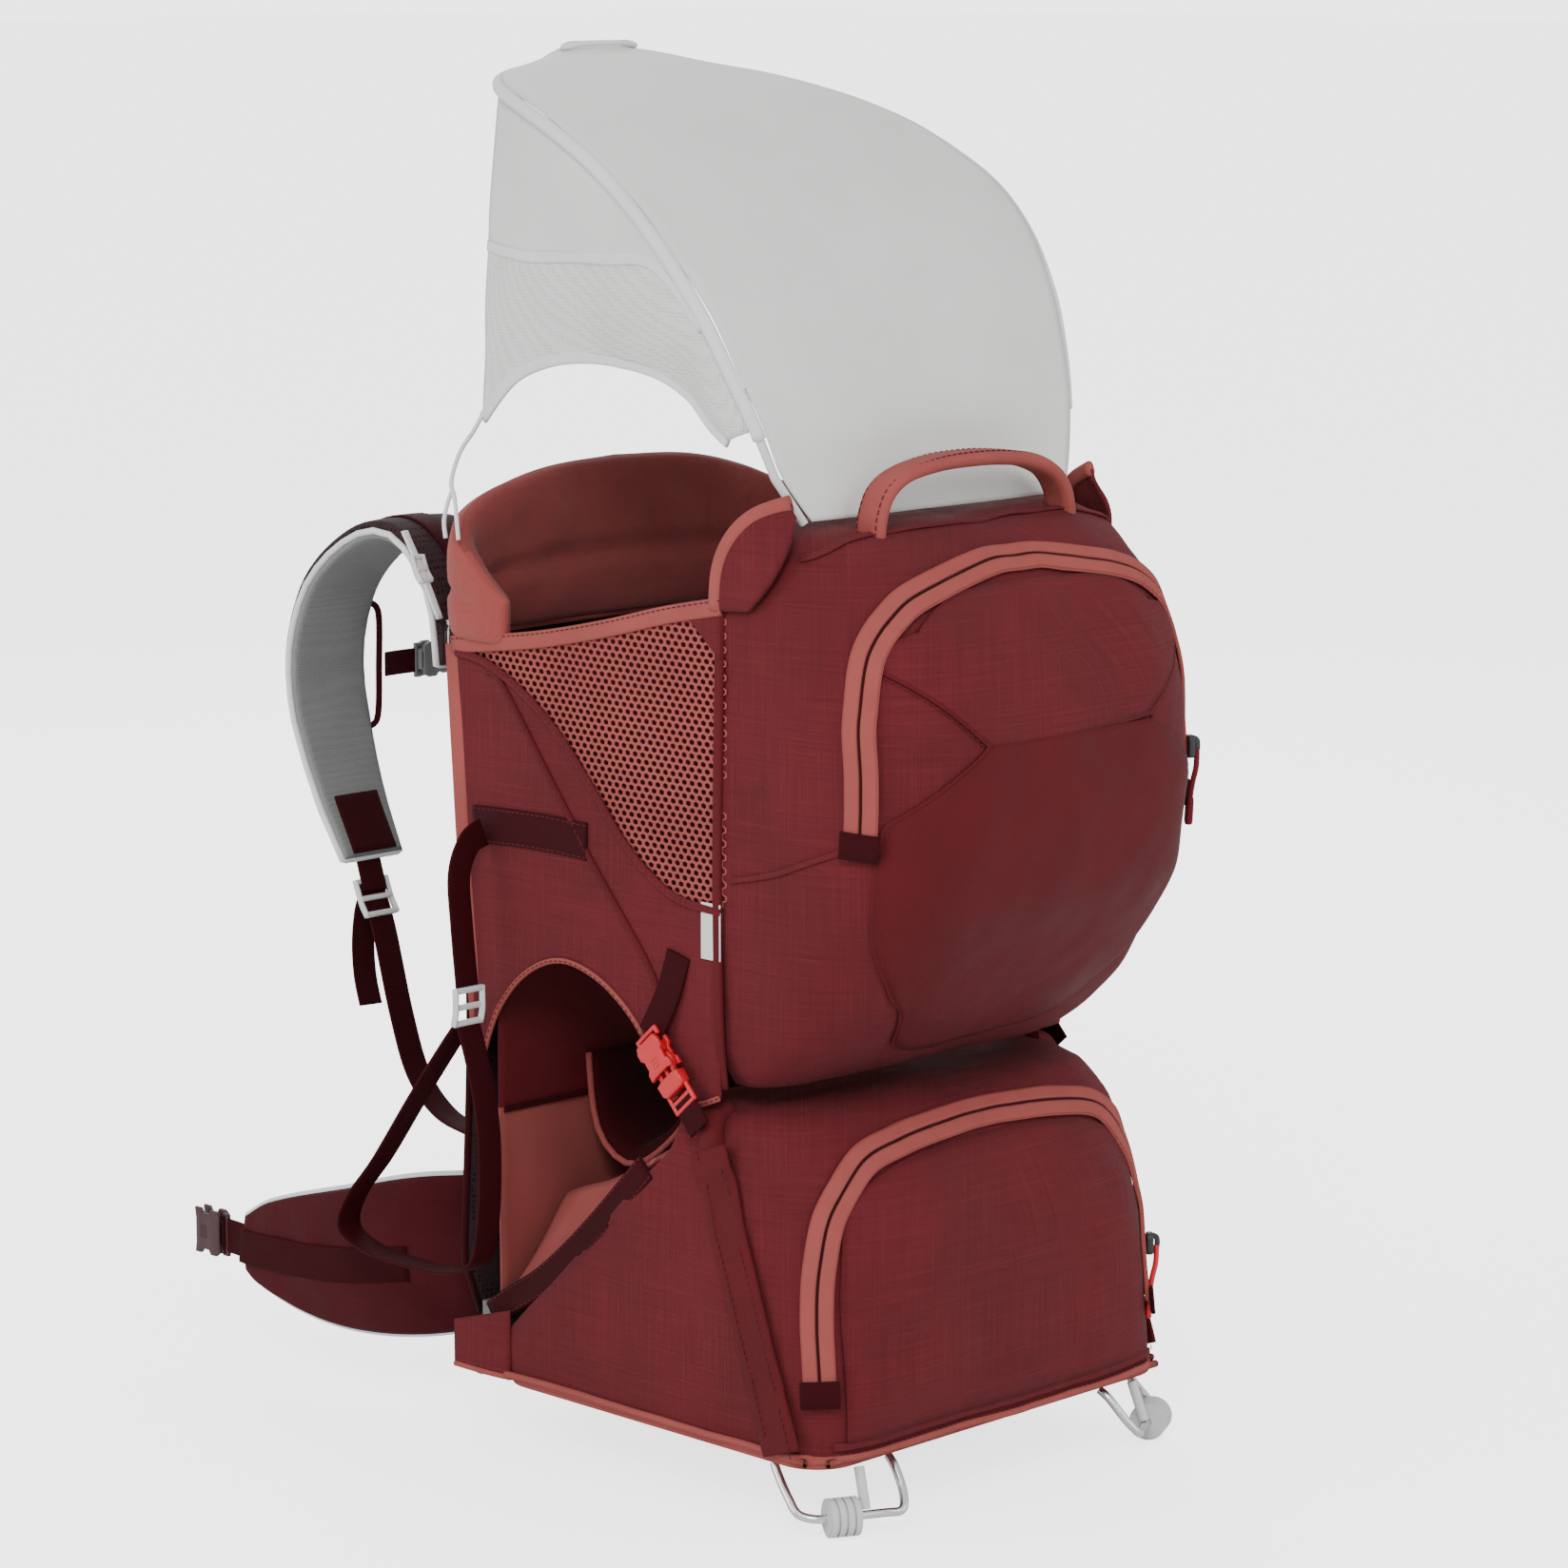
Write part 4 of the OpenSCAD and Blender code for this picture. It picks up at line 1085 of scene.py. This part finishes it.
for label, sign in SIDES.items():
    place = strap_place(sign)
    outward = 1 if facing(place, 0.5, 0.6).y > 0 else -1
    outer = pad("shoulder_strap_" + label, place, 8, 16, 70, [black_mesh], "harness", "dark_fabric",
                offset=3.2 * outward, power=6)
    pad("shoulder_strap_lining_" + label, place, 7, 16, 70, [inner_grey], "harness", "dark_fabric",
        offset=-3.0 * outward, power=6)
    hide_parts("shoulder_strap_" + label)
    rim("shoulder_strap_binding_" + label, place, 2.4, binding_grey, "harness", "dark_fabric")
    path = [place(0.5, v) for v in steps(0.08, 0.94, 50)]
    normals = [facing(place, 0.5, v) * outward for v in steps(0.08, 0.94, 50)]
    piece("shoulder_strap_webbing_" + label, sweep([(p + n * 8.0) * MM for p, n in zip(path, normals)],
                                                   flat_section(22 * MM, 2 * MM), normals), webbing,
          "harness", "webbing")
    spots = steps(0.89, 0.995, 8)
    for part, side in (("outer", outward), ("inner", -outward)):
        tip = [place(0.5, v) + facing(place, 0.5, v) * side * (7.2 if side == outward else 6.4)
               for v in spots]
        ribbon(f"shoulder_strap_patch_{part}_{label}", tip, [facing(place, 0.5, v) * side for v in spots], 40,
               3, dark_cloth, "harness", "dark_fabric")
    strap("strap_anchor_" + label, [(sign * 111, 163, 396), (sign * 112, 154, 374), (sign * 113, 147, 356)],
          Vector((0, 0.88, -0.48)), 22, 2.2, webbing, "harness", "webbing")


def ladder_lock(width, length):
    """A webbing adjuster in its own plane, width along x and length along y: rails, bars and a lifted lip."""
    bars = []
    for at, tall in ((-0.46, 4.4), (-0.02, 3.4), (0.44, 3.8)):
        bars.append(block((-width / 2 + 1, length * at - 2, -tall / 2),
                          (width / 2 - 1, length * at + 2, tall / 2), 1.2))
    for sign in (-1, 1):
        ends = [Vector((sign * (width / 2 - 1.8), y, z)) for y, z in ((-length / 2, 0), (-length / 6, 1.2),
                                                                    (length / 6, 0.6), (length / 2, -0.5))]
        bars.append(sweep([e * MM for e in smooth(ends, 4)], flat_section(3.6 * MM, 5 * MM, 2),
                          [Vector((0, 0, 1))] * 13))
    return merged(bars)


def placed(part, origin, ahead, normal):
    """Turns a part so that its y axis lies ahead and its z axis along the normal, then moves it."""
    ahead = Vector(ahead).normalized()
    normal = Vector(normal)
    normal = (normal - ahead * normal.dot(ahead)).normalized()
    across = ahead.cross(normal)
    verts, faces = part
    return [across * v.x + ahead * v.y + normal * v.z + Vector(origin) * MM for v in verts], faces


for label, sign in SIDES.items():
    lock_x = sign * 113
    form = placed(ladder_lock(32, 28), (lock_x, 146, 352), (0, 0.48, 0.88), (0, 0.88, -0.48))
    piece("strap_ladder_lock_" + label, form, pale_plastic, "harness", "pale_plastic")
    line = [(lock_x, y, z) for y, z in ((152, 362), (138, 330), (120, 270), (102, 228), (74, 204),
                                            (40, 196), (14, 194))]
    normals = [Vector((0, 0.88, -0.48)), Vector((0, 0.9, -0.4)), Vector((0, 0.92, -0.35)),
               Vector((0, 0.7, -0.7)), Vector((0, 0.3, -1)), Vector((0, 0.1, -1)), Vector((0, 0, -1))]
    path = [Vector(p) * MM for p in smooth(line, 8)]
    loose = piece("strap_webbing_" + label, sweep(path, flat_section(22 * MM, 2 * MM), smooth(normals, 8)),
                  webbing, None, "webbing")
    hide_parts("strap_webbing_" + label)
    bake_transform(loose)
    strap("strap_tail_" + label, [(lock_x, 152, 356), (lock_x, 158, 340), (sign * 114, 160, 316),
                                  (sign * 115, 157, 292), (sign * 116, 150, 272)],
          Vector((0, 1, -0.1)), 21, 1.8, webbing, "harness", "webbing")
    line = [(sign * 147.5, y, z) for y, z in ((34, 568), (50, 596), (70, 626))]
    lifter = strap("load_lifter_" + label, line, Vector((0, 0.85, -0.5)), 6, 2.2, binding_grey, "harness",
                   "dark_fabric")
    form = placed(ladder_lock(13, 20), (sign * 147, 53, 601), (0, 0.52, 0.85), (0, 0.85, -0.52))
    piece("load_lifter_lock_" + label, form, pale_plastic, "harness", "pale_plastic")
    if sign < 0:
        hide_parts("load_lifters")
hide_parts("strap_ladder_locks")


def buckle_socket(width, length, thick):
    """The outer half of a side-release buckle: open towards +y, with a window on each side."""
    w, l = width / 2, length
    shell = [(-w * 0.8, 0), (w * 0.8, 0), (w, l * 0.16), (w, l * 0.36), (w * 0.80, l * 0.44),
             (w * 0.80, l * 0.70), (w, l * 0.78), (w, l), (w * 0.55, l * 0.95), (-w * 0.55, l * 0.95),
             (-w, l), (-w, l * 0.78), (-w * 0.80, l * 0.70), (-w * 0.80, l * 0.44), (-w, l * 0.36),
             (-w, l * 0.16)]
    top_plate = moved(extruded(shell, thick * 0.3, 0.8), mm(0, 0, thick * 0.35))
    low_plate = moved(extruded(shell, thick * 0.3, 0.8), mm(0, 0, -thick * 0.35))
    core = extruded(rounded_outline(width * 0.62, length * 0.5, 2, centre=(0, length * 0.25)),
                    thick * 0.8, 0.5)
    bar = block((-w * 0.86, -5.5, -1.6), (w * 0.86, -2.3, 1.6), 1.2)
    arms = [block((s * w * 0.86 - 1.6, -5.5, -1.6), (s * w * 0.86 + 1.6, 1.5, 1.6), 1.2) for s in (-1, 1)]
    ridges = [block((-w * 0.3, length * at - 0.6, thick * 0.5 - 0.5),
                    (w * 0.3, length * at + 0.6, thick * 0.5 + 0.4), 0.4) for at in (0.55, 0.65, 0.75)]
    return merged([top_plate, low_plate, core, bar] + arms + ridges)


def buckle_prong(width, length, thick):
    """The inner half: a body with webbing bars, and two sprung legs and a tongue towards -y."""
    w = width / 2
    body = extruded([(-w, 0), (-w * 0.96, length * 0.28), (-w * 0.7, length * 0.36), (w * 0.7, length * 0.36),
                     (w * 0.96, length * 0.28), (w, 0), (w * 0.5, -1.5), (-w * 0.5, -1.5)], thick * 0.9, 1.0)
    legs = []
    for s in (-1, 1):
        legs.append(extruded([(s * w * 0.62, 0), (s * w * 0.86, -length * 0.22),
                              (s * w * 0.98, -length * 0.36), (s * w * 0.80, -length * 0.52),
                              (s * w * 0.48, -length * 0.5), (s * w * 0.44, 0)][::s], thick * 0.38, 0.5))
    tongue = block((-w * 0.12, -length * 0.5, -thick * 0.17), (w * 0.12, 0, thick * 0.17), 0.5)
    bars = [block((-w * 0.86, length * 0.36 + d, -1.5), (w * 0.86, length * 0.36 + d + 3, 1.5), 1.1)
            for d in (4, 10)]
    arms = [block((s * w * 0.86 - 1.6, length * 0.3, -1.6), (s * w * 0.86 + 1.6, length * 0.36 + 13, 1.6),
                  1.2) for s in (-1, 1)]
    return merged([body, tongue] + legs + bars + arms)


for label, sign in SIDES.items():
    tube("sternum_rail_" + label, [(sign * 78, 194, 466), (sign * 73, 188, 474),
                                                (sign * 72, 187, 512), (sign * 72, 187, 550),
                                                (sign * 78, 191, 558)], 2.4, dark_cloth, "harness",
                      "grey_plastic", per=8)
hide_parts("sternum_rails")
form = placed(buckle_socket(26, 32, 11), (-34, 185.5, 512), (1, 0, 0), (0, 1, 0))
sternum_socket = piece("sternum_socket", form, grey_plastic, "sternum", "grey_plastic")
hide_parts("sternum_buckle_socket")
strap("sternum_webbing_left", [(-67.5, 185, 512), (-54, 186, 512), (-37, 185.5, 512)], Vector((0, 1, 0)), 18,
      2, webbing, "sternum", "webbing")
form = placed(buckle_prong(22, 34, 9), (0, 185.5, 512), (1, 0, 0), (0, 1, 0))
sternum_prong = piece("sternum_prong", form, grey_plastic, "sternum_clip", "grey_plastic")
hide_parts("sternum_buckle_prong")
strap("sternum_webbing_right", [(16, 190, 512), (40, 190.4, 512), (72, 190.4, 512)], Vector((0, 1, 0)), 18, 2,
      webbing, "sternum_clip", "webbing")

# ---------------------------------------------------------------- hip belt

WING = [(-100, 25), (-116, 30), (-134, 46), (-152, 74), (-163, 110), (-168, 150), (-170, 190), (-170, 228)]
wing_high = profile([(0, 168), (60, 166), (120, 150), (200, 126), (232, 108)])
wing_low = profile([(0, 64), (60, 50), (140, 48), (210, 62), (232, 74)])


def wing_place(sign):
    fine = even(smooth([(x, y, 0) for x, y in WING], 10), 80)

    def place(u, v):
        k = min(int(u * 80), 79)
        p = fine[k].lerp(fine[k + 1], u * 80 - k)
        return Vector((sign * -p.x, p.y, lerp(wing_low(p.y), wing_high(p.y), v)))
    return place


for label, sign in SIDES.items():
    place = wing_place(sign)
    out = 1 if facing(place, 0.6, 0.5).x * sign > 0 else -1
    body = "hip_" + label
    outer = pad("hip_wing_" + label, place, 8, 50, 26, [hip_cloth], body, "main_fabric", offset=3.2 * out,
                ripple=2.2, crease=lambda u, v: 0.25 * math.exp(-((v - 0.62) / 0.04) ** 2))
    pad("hip_lining_" + label, place, 7, 50, 26, [black_mesh], body, "dark_fabric", offset=-3.0 * out)
    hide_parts("hip_wing_" + label)
    rim("hip_rim_" + label, place, 2.8, binding_grey, body, "main_fabric")
    line = [place(u, 0.46) + facing(place, u, 0.46) * out * 7.6 for u in steps(0.3, 1, 30)]
    normals = [facing(place, u, 0.46) * out for u in steps(0.3, 1, 30)]
    ribbon("hip_strap_" + label, line, normals, 26, 2.2, webbing, body, "webbing")
    tab = strap("hip_webbing_" + label, [(sign * 172, 226, 91), (sign * 170.5, 240, 91),
                                         (sign * 169.5, 257, 91)], Vector((sign, 0, 0)), 26, 2.4, webbing,
                body, "webbing")
    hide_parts("hip_webbing_" + label)
form = placed(buckle_socket(34, 28, 12), (-169.5, 256, 91), (0, 1, 0), (-1, 0, 0))
hip_socket = piece("hip_socket", form, dark_plastic, "hip_left", "black_plastic")
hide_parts("hip_buckle_socket")
form = placed(buckle_prong(32, 30, 9), (169.5, 267, 91), (0, -1, 0), (1, 0, 0))
hip_prong = piece("hip_prong", form, dark_plastic, "hip_right", "black_plastic")
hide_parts("hip_buckle_prong")

# ---------------------------------------------------------------- leg buckles and stirrups

lean = Vector((0, math.sin(math.radians(-42)), -math.cos(math.radians(42))))
for label, sign in SIDES.items():
    start = Vector((sign * 178, -206, 312))
    socket = piece("leg_socket_" + label, placed(buckle_socket(24, 26, 11), start, lean, (sign, 0, 0)),
                   red_plastic, "cockpit", "red_plastic")
    if sign < 0:
        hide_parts("leg_buckle_sockets")
    strap("leg_strap_top_" + label, [(sign * 170, -226, 372), (sign * 172, -218, 345),
                                     (sign * 177, -206, 316)], Vector((sign, -0.1, 0)), 20, 2, webbing,
          "cockpit", "webbing")
    prong_at = start + lean * 30
    prong = piece("leg_prong_" + label, placed(buckle_prong(24, 30, 9), prong_at, lean, (sign, 0, 0)),
                  red_plastic, "leg_clip_" + label, "red_plastic")
    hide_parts("leg_buckle_prong_" + label)
    low_end = prong_at + lean * 14
    strap("leg_strap_low_" + label, [tuple(low_end), tuple(low_end + lean * 14), tuple(low_end + lean * 27)],
          Vector((sign, 0, 0)), 21, 2, webbing, "leg_clip_" + label, "webbing")

    body, x = "stirrup_" + label, sign * 197
    strap("stirrup_hanger_" + label,
          [(sign * 172, -36, 430), (sign * 186, -37, 424), (x, -39, 404), (x, -41, 370), (x, -46, 326)],
          Vector((0, -1, 0.1)), 20, 2.2, webbing, body, "webbing")
    STIRRUP = [(-47, 300), (-60, 262), (-67, 220), (-65, 165), (-54, 133), (-20, 122), (20, 121), (56, 123),
               (82, 134), (74, 158), (44, 192), (4, 244), (-30, 286), (-44, 302)]
    path = [Vector((x, y, z)) for y, z in STIRRUP]
    normals = []
    for k, p in enumerate(path):
        ahead = path[min(k + 1, len(path) - 1)] - path[max(k - 1, 0)]
        normals.append(ahead.cross(Vector((1, 0, 0))).normalized())
    loop = ribbon("stirrup_loop_" + label, smooth(path, 6), smooth(normals, 6), 21, 2.2, webbing, body,
                  "webbing")
    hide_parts("stirrup_" + label)
    form = placed(ladder_lock(28, 26), (x, -47, 314), (0, -0.1, 1), (0, -1, -0.1))
    lock = piece("stirrup_lock_piece_" + label, form, pale_plastic, body, "pale_plastic")
    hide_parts("stirrup_lock_" + label)

# ---------------------------------------------------------------- cockpit: collar, seat, child's harness

collar_high = profile([(0, 673), (70, 669), (125, 656), (165, 637), (172, 628)])


def collar_plan():
    line = [(-167, -58), (-167, -30), (-163, -8), (-148, 6), (-120, 12), (-60, 15), (0, 16)]
    line += [(-x, y) for x, y in reversed(line[:-1])]
    return even(smooth([(x, y, 0) for x, y in line], 10), 120)


PLAN = collar_plan()


def collar_place(u, v):
    k = min(int(u * 120), 119)
    p = PLAN[k].lerp(PLAN[k + 1], u * 120 - k)
    high = collar_high(abs(p.x)) - (max(0, -p.y) / 58) * 44
    lean_in = -3 * v
    return Vector((p.x * (1 + 0.01 * v), p.y + lean_in, lerp(560, high, v)))


collar = pad("collar_pad", collar_place, 23, 96, 22, [collar_shaded_cloth], "frame", "collar_fabric", power=3.2,
             ripple=2.6, crease=lambda u, v: 0.45 * (1 - abs(2 * u - 1) ** 6)
             * math.exp(-((v - 0.42) / 0.05) ** 2))
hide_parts("collar_pad")
# Outward faces take the lighter copy with painted light; inward faces keep the darker copy with painted
# shade.
collar.data.materials.append(collar_lit_cloth)
for polygon in collar.data.polygons:
    c, n = polygon.center / MM, polygon.normal
    radial = Vector((c.x * 0.25 if c.y > -20 else c.x, c.y + 60, 0)).normalized()
    polygon.material_index = 1 if n.dot(radial) > 0.1 else 0
rim("collar_piping", collar_place, 3.0, trim_cloth, "frame", "trim_fabric", edges=(0,))

SEAT = [(-44, 262), (-50, 222), (-66, 203), (-92, 200), (-128, 226), (-160, 262), (-188, 300), (-196, 350)]
seat_at = line_at(SEAT)


def seat_place(u, v):
    p = seat_at(v)
    x = 2 * u - 1
    return Vector((x * 82, p.y, p.z - 12 * x ** 4 * math.sin(math.pi * v)))


seat = pad("child_seat", seat_place, 16, 24, 50, [dark_cloth], "seat", "dark_fabric", ripple=1.6,
           crease=lambda u, v: 0.4 * math.exp(-((u - 0.5) / 0.03) ** 2))
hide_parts("child_seat")
seat_parts = [seat, rim("child_seat_binding", seat_place, 2.4, trim_cloth, "seat", "trim_fabric", edges=(1,)),
              rim("child_seat_binding_right", seat_place, 2.4, trim_cloth, "seat", "trim_fabric", edges=(3,))]

for label, sign in SIDES.items():
    def harness_place(u, v, sign=sign):
        return Vector((sign * (44 + 4 * v) + (2 * u - 1) * (18 + 8 * v), -252 + 12 * v ** 3,
                       lerp(437, 634, v)))
    pad("child_strap_" + label, harness_place, 9, 14, 30, [dark_cloth], "cockpit", "dark_fabric")
    rim("child_strap_piping_" + label, harness_place, 2.0, trim_cloth, "cockpit", "trim_fabric")


def chest_place(u, v):
    return Vector(((2 * u - 1) * 47, -243, lerp(436, 468, v)))


chest = pad("child_chest_pad", chest_place, 10, 22, 10, [dark_cloth], "cockpit", "dark_fabric")
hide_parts("child_harness")
piece("child_chest_buckle", placed(buckle_socket(18, 22, 7), (-11, -241, 452), (1, 0, 0), (0, 1, 0)),
      black_plastic, "cockpit", "black_plastic")

EAR_OUT = [(-290, 606), (-304, 622), (-312, 638), (-314, 652), (-310, 666)]
EAR_IN = [(-259, 604), (-260, 632), (-268, 652), (-282, 666), (-306, 676)]
ear_out, ear_in = line_at(EAR_OUT), line_at(EAR_IN)
for label, sign in SIDES.items():
    def ear_place(u, v, sign=sign):
        p = ear_in(v).lerp(ear_out(v), u)
        return Vector((sign * (167.5 - 22 * v * v), p.y, p.z))
    ear = sheet_piece("ear_" + label, ear_place, 10, 20, 3.4, main_cloth, "cockpit", "trim_fabric")
    if sign < 0:
        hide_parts("ears")
    edge = [ear_place(0, v) for v in steps(0, 1, 24)]
    ribbon("ear_binding_" + label, edge, Vector((sign, 0, 0)), 11, 6, trim_cloth, "cockpit", "trim_fabric")

HANDLE = [(-88, 650), (-86, 664), (-78, 679), (-60, 689), (-30, 694), (0, 695), (30, 694), (60, 690),
          (82, 681), (94, 667), (98, 650)]
path = [Vector((x, -322, z)) for x, z in HANDLE]
normals = [Vector((p.x * 0.012, 0, 0.2 + 0.8 * (1 - abs(p.x) / 90))).normalized() for p in path]
handle = ribbon("grab_handle", smooth(path, 8), smooth(normals, 8), 24, 10, trim_cloth, "cockpit",
                "trim_fabric", 6)
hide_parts("grab_handle")
for edge in (-1, 1):
    shift = Vector((0, edge * 8.5, 0))
    stitches(f"grab_handle_stitches_{letter(edge)}", [p + shift for p in smooth(path, 8)],
             smooth(normals, 8), thread, "cockpit", "trim_fabric", lift=5.0)

# ---------------------------------------------------------------- zip sliders

for name, bag, body, material, x, z in (("top_zip_slider", top, "top_slider", burgundy_cord, 150, 492),
                                        ("lower_zip_slider", low, "lower_slider", red_plastic, 161, 134)):
    n = bag.normal(bag.front(x, z))
    at = bag.front(x, z, 7.0)
    shell = extruded(rounded_outline(11, 16, 4), 5, 1.2)
    bridge = sweep([Vector(p) * MM for p in smooth([(0, 6, 1), (0, 4, 5), (0, -3, 5), (0, -6, 1)], 5)],
                   flat_section(4 * MM, 1.6 * MM, 2), [Vector((1, 0, 0))] * 16)
    made = [piece(name, placed(merged([shell, bridge]), at, (0, 0, 1), n), black_plastic, body, "zip_pull")]
    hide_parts(name)
    hang = [at + n * 5 + Vector((0, 0, -2)), at + n * 6 + Vector((-2, 0, -14)),
            at + n * 4 + Vector((-3, 0, -26)), at + n * 2 + Vector((-3, 0, -40))]
    made.append(piece(name + "_pull", sweep([p * MM for p in smooth(hang, 6)], circle(2.0 * MM, 8)), material,
                      body, "zip_pull"))
    form = placed(extruded(rounded_outline(8, 20, 3.5), 4.5, 1.2), hang[3] + Vector((0, 0, -4)),
                  (0.06, 0, 1), n)
    made.append(piece(name + "_grip", form, material, body, "zip_pull"))
    if bag is low:
        squashed += made

# ---------------------------------------------------------------- sun shade

HOOP = [(125, -298, 660), (141, -287, 690), (151, -278, 724), (161, -263, 762), (168, -246, 796),
        (174, -220, 832), (175, -187, 863), (169, -144, 889), (161, -100, 908), (148, -55, 922),
        (130, -15, 932), (100, 16, 938), (55, 36, 942), (0, 44, 943)]
hoop_half = [Vector(p) for p in smooth(HOOP, 8)]
hoop_full = [Vector((-p.x, p.y, p.z)) for p in hoop_half] + hoop_half[-2::-1]
piece("shade_channel", sweep([p * MM for p in hoop_full[14:-14]], circle(4.6 * MM, 12)), shade_edge, "shade",
      "shade_cloth")


def hoop_at(v):
    t = v * (len(hoop_half) - 1)
    k = min(int(t), len(hoop_half) - 2)
    return hoop_half[k].lerp(hoop_half[k + 1], t - k)


CANOPY_REACH = 0.925


def canopy_place(u, v):
    t = CANOPY_REACH * v
    p, ahead = hoop_at(t), hoop_at(min(t + 0.02, 1)) - hoop_at(max(t - 0.02, 0))
    up = Vector((0, -ahead.z, ahead.y)).normalized()
    across = 2 * u - 1
    crown = 15 * min(1, t * 3.2) * (1 - across ** 2)
    half = p.x - 2.0
    back = 12 * max(0, (t - 0.80) / (CANOPY_REACH - 0.80)) * (abs(across) ** 3)
    point = Vector((across * half, p.y - back * 0.4, p.z)) + up * (crown + 3.0 + 2 * abs(across) ** 6)
    return point + up * wrinkle(point, 0.016, 2.0, 5)


canopy = sheet_piece("shade_canopy", canopy_place, 44, 80, 1.6, shade_cloth, "shade", "shade_cloth")
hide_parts("shade_canopy")
front_edge = [canopy_place(u, 1.0) for u in steps(0, 1, 40)]
piece("shade_front_roll", sweep([p * MM for p in front_edge], circle(3.2 * MM, 10)), shade_edge, "shade",
      "shade_cloth")

HEM = [(151, -254, 712), (150, -236, 722), (148, -214, 740), (147, -186, 752), (146, -152, 757),
       (144, -114, 758), (140, -74, 753), (134, -30, 738), (127, 8, 708)]
TOPS = [Vector((h[0] - 1, h[1] + 3, h[2] - 4)) for h in HOOP[2:11]]
top_line, hem_line = even(smooth(TOPS, 10), 64), even(smooth(HEM, 10), 64)
seam_share = profile([(0, 0.03), (0.22, 0.03), (0.36, 0.10), (0.48, 0.34), (0.62, 0.47), (0.76, 0.52),
                      (0.88, 0.50), (1, 0.46)])


def on_line(line, t):
    k = min(int(t * 64), 63)
    return line[k].lerp(line[k + 1], t * 64 - k)


def curtain_place(sign, start, end):
    def place(u, v):
        share = lerp(start(u), end(u), v)
        p = on_line(top_line, u).lerp(on_line(hem_line, u), share)
        belly = 4 * math.sin(math.pi * share) + wrinkle(p, 0.02, 2.2, 8) * share
        return Vector((sign * (p.x + belly), p.y, p.z))
    return place


for label, sign in SIDES.items():
    upper = curtain_place(sign, lambda u: 0.0, seam_share)
    lower = curtain_place(sign, seam_share, lambda u: 1.0)
    cloth = sheet_piece("shade_curtain_" + label, upper, 60, 12, 1.4, shade_cloth, "shade", "shade_cloth")
    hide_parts("shade_curtain_" + label)
    mesh_part = sheet_piece("shade_window_" + label, lower, 60, 16, 1.2, shade_mesh, "shade", "shade_cloth")
    edge = [lower(u, 1.0) for u in steps(0, 1, 60)]
    ribbon("shade_hem_" + label, edge, Vector((sign, 0, 0)), 9, 3, shade_edge, "shade", "shade_cloth")
    line = [upper(u, 1.0) + Vector((sign * 1.0, 0, 0)) for u in steps(0.2, 1, 50)]
    ribbon("shade_curtain_seam_" + label, line, Vector((sign, 0, 0)), 7, 1.4, shade_edge, "shade",
           "shade_cloth")
    tether = tube("shade_tether_" + label, [(sign * 128, 8, 712), (sign * 136, 9, 700), (sign * 152, 6, 686),
                                            (sign * 168, -3, 668), (sign * 171, -10, 656)],
                  1.6, shade_edge, "shade", "shade_cloth", per=6)
    if sign < 0:
        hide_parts("shade_tethers")
    tube("tether_loop_" + label, [(sign * 175.5, -18, 630), (sign * 176, -17, 644), (sign * 174, -13, 657),
                                  (sign * 171.5, -8, 662), (sign * 171, -3, 655), (sign * 175, -3, 642),
                                  (sign * 175.5, -5, 630)],
         1.5, shade_edge, "frame", "collar_fabric", per=6)
pull = tube("shade_pull_loop", [(-34, 26, 958), (-20, 34, 960), (0, 37, 960), (20, 34, 960), (34, 26, 958),
                                (20, 20, 960.5), (0, 18, 960.5), (-20, 20, 960.5)],
            2.0, shade_edge, "shade", "shade_cloth", per=5, closed=True)
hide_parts("shade_pull_loop")

# ---------------------------------------------------------------- meshes of their own

for obj in gathered:
    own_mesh(obj)
for obj in squashed:
    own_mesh(obj)
for obj in seat_parts:
    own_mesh(obj)

# ---------------------------------------------------------------- floor and light

GLOW = 3.4
studio = Shader("studio_floor", 0.9, specular=0.1)
seen = studio.add("ShaderNodeLightPath").outputs["Is Camera Ray"]
studio.shader.inputs["Emission Color"].default_value = (1, 1, 1, 1)
studio.put(studio.shader.inputs["Emission Strength"], studio.math("MULTIPLY", seen, GLOW - 1.0))
studio.finish(studio.mix(studio.noise(studio.point, 2, 2), (0.86, 0.86, 0.86, 1), (0.88, 0.88, 0.88, 1)))
bpy.ops.mesh.primitive_plane_add(size=80, location=(0, 0, -0.0005))
floor = bpy.context.object
floor.name = "studio_floor"
floor.data.materials.append(studio.material)


def area_light(name, place, power, size, aim=(0, -0.15, 0.45)):
    data = bpy.data.lights.new(name, "AREA")
    data.energy, data.size = power, size
    lamp = bpy.data.objects.new(name, data)
    lamp.location = place
    lamp.rotation_euler = (Vector(place) - Vector(aim)).to_track_quat("Z", "Y").to_euler()
    bpy.context.scene.collection.objects.link(lamp)


area_light("key", (-2.6, -2.2, 2.8), 85, 1.4)
area_light("fill", (0.6, -3.4, 1.6), 26, 2.4)
area_light("rim", (1.8, 2.2, 2.4), 40, 1.6)
area_light("side", (-3.2, 1.2, 1.5), 40, 1.8)

world = bpy.data.worlds.new("studio")
world.use_nodes = True
world.node_tree.nodes["Background"].inputs["Color"].default_value = (1, 1, 1, 1)
tree = world.node_tree
path_node = tree.nodes.new("ShaderNodeLightPath")
glow = tree.nodes.new("ShaderNodeMapRange")
tree.links.new(path_node.outputs["Is Camera Ray"], glow.inputs["Value"])
glow.inputs["To Min"].default_value = 0.95
glow.inputs["To Max"].default_value = GLOW
tree.links.new(glow.outputs[0], tree.nodes["Background"].inputs["Strength"])
bpy.context.scene.world = world
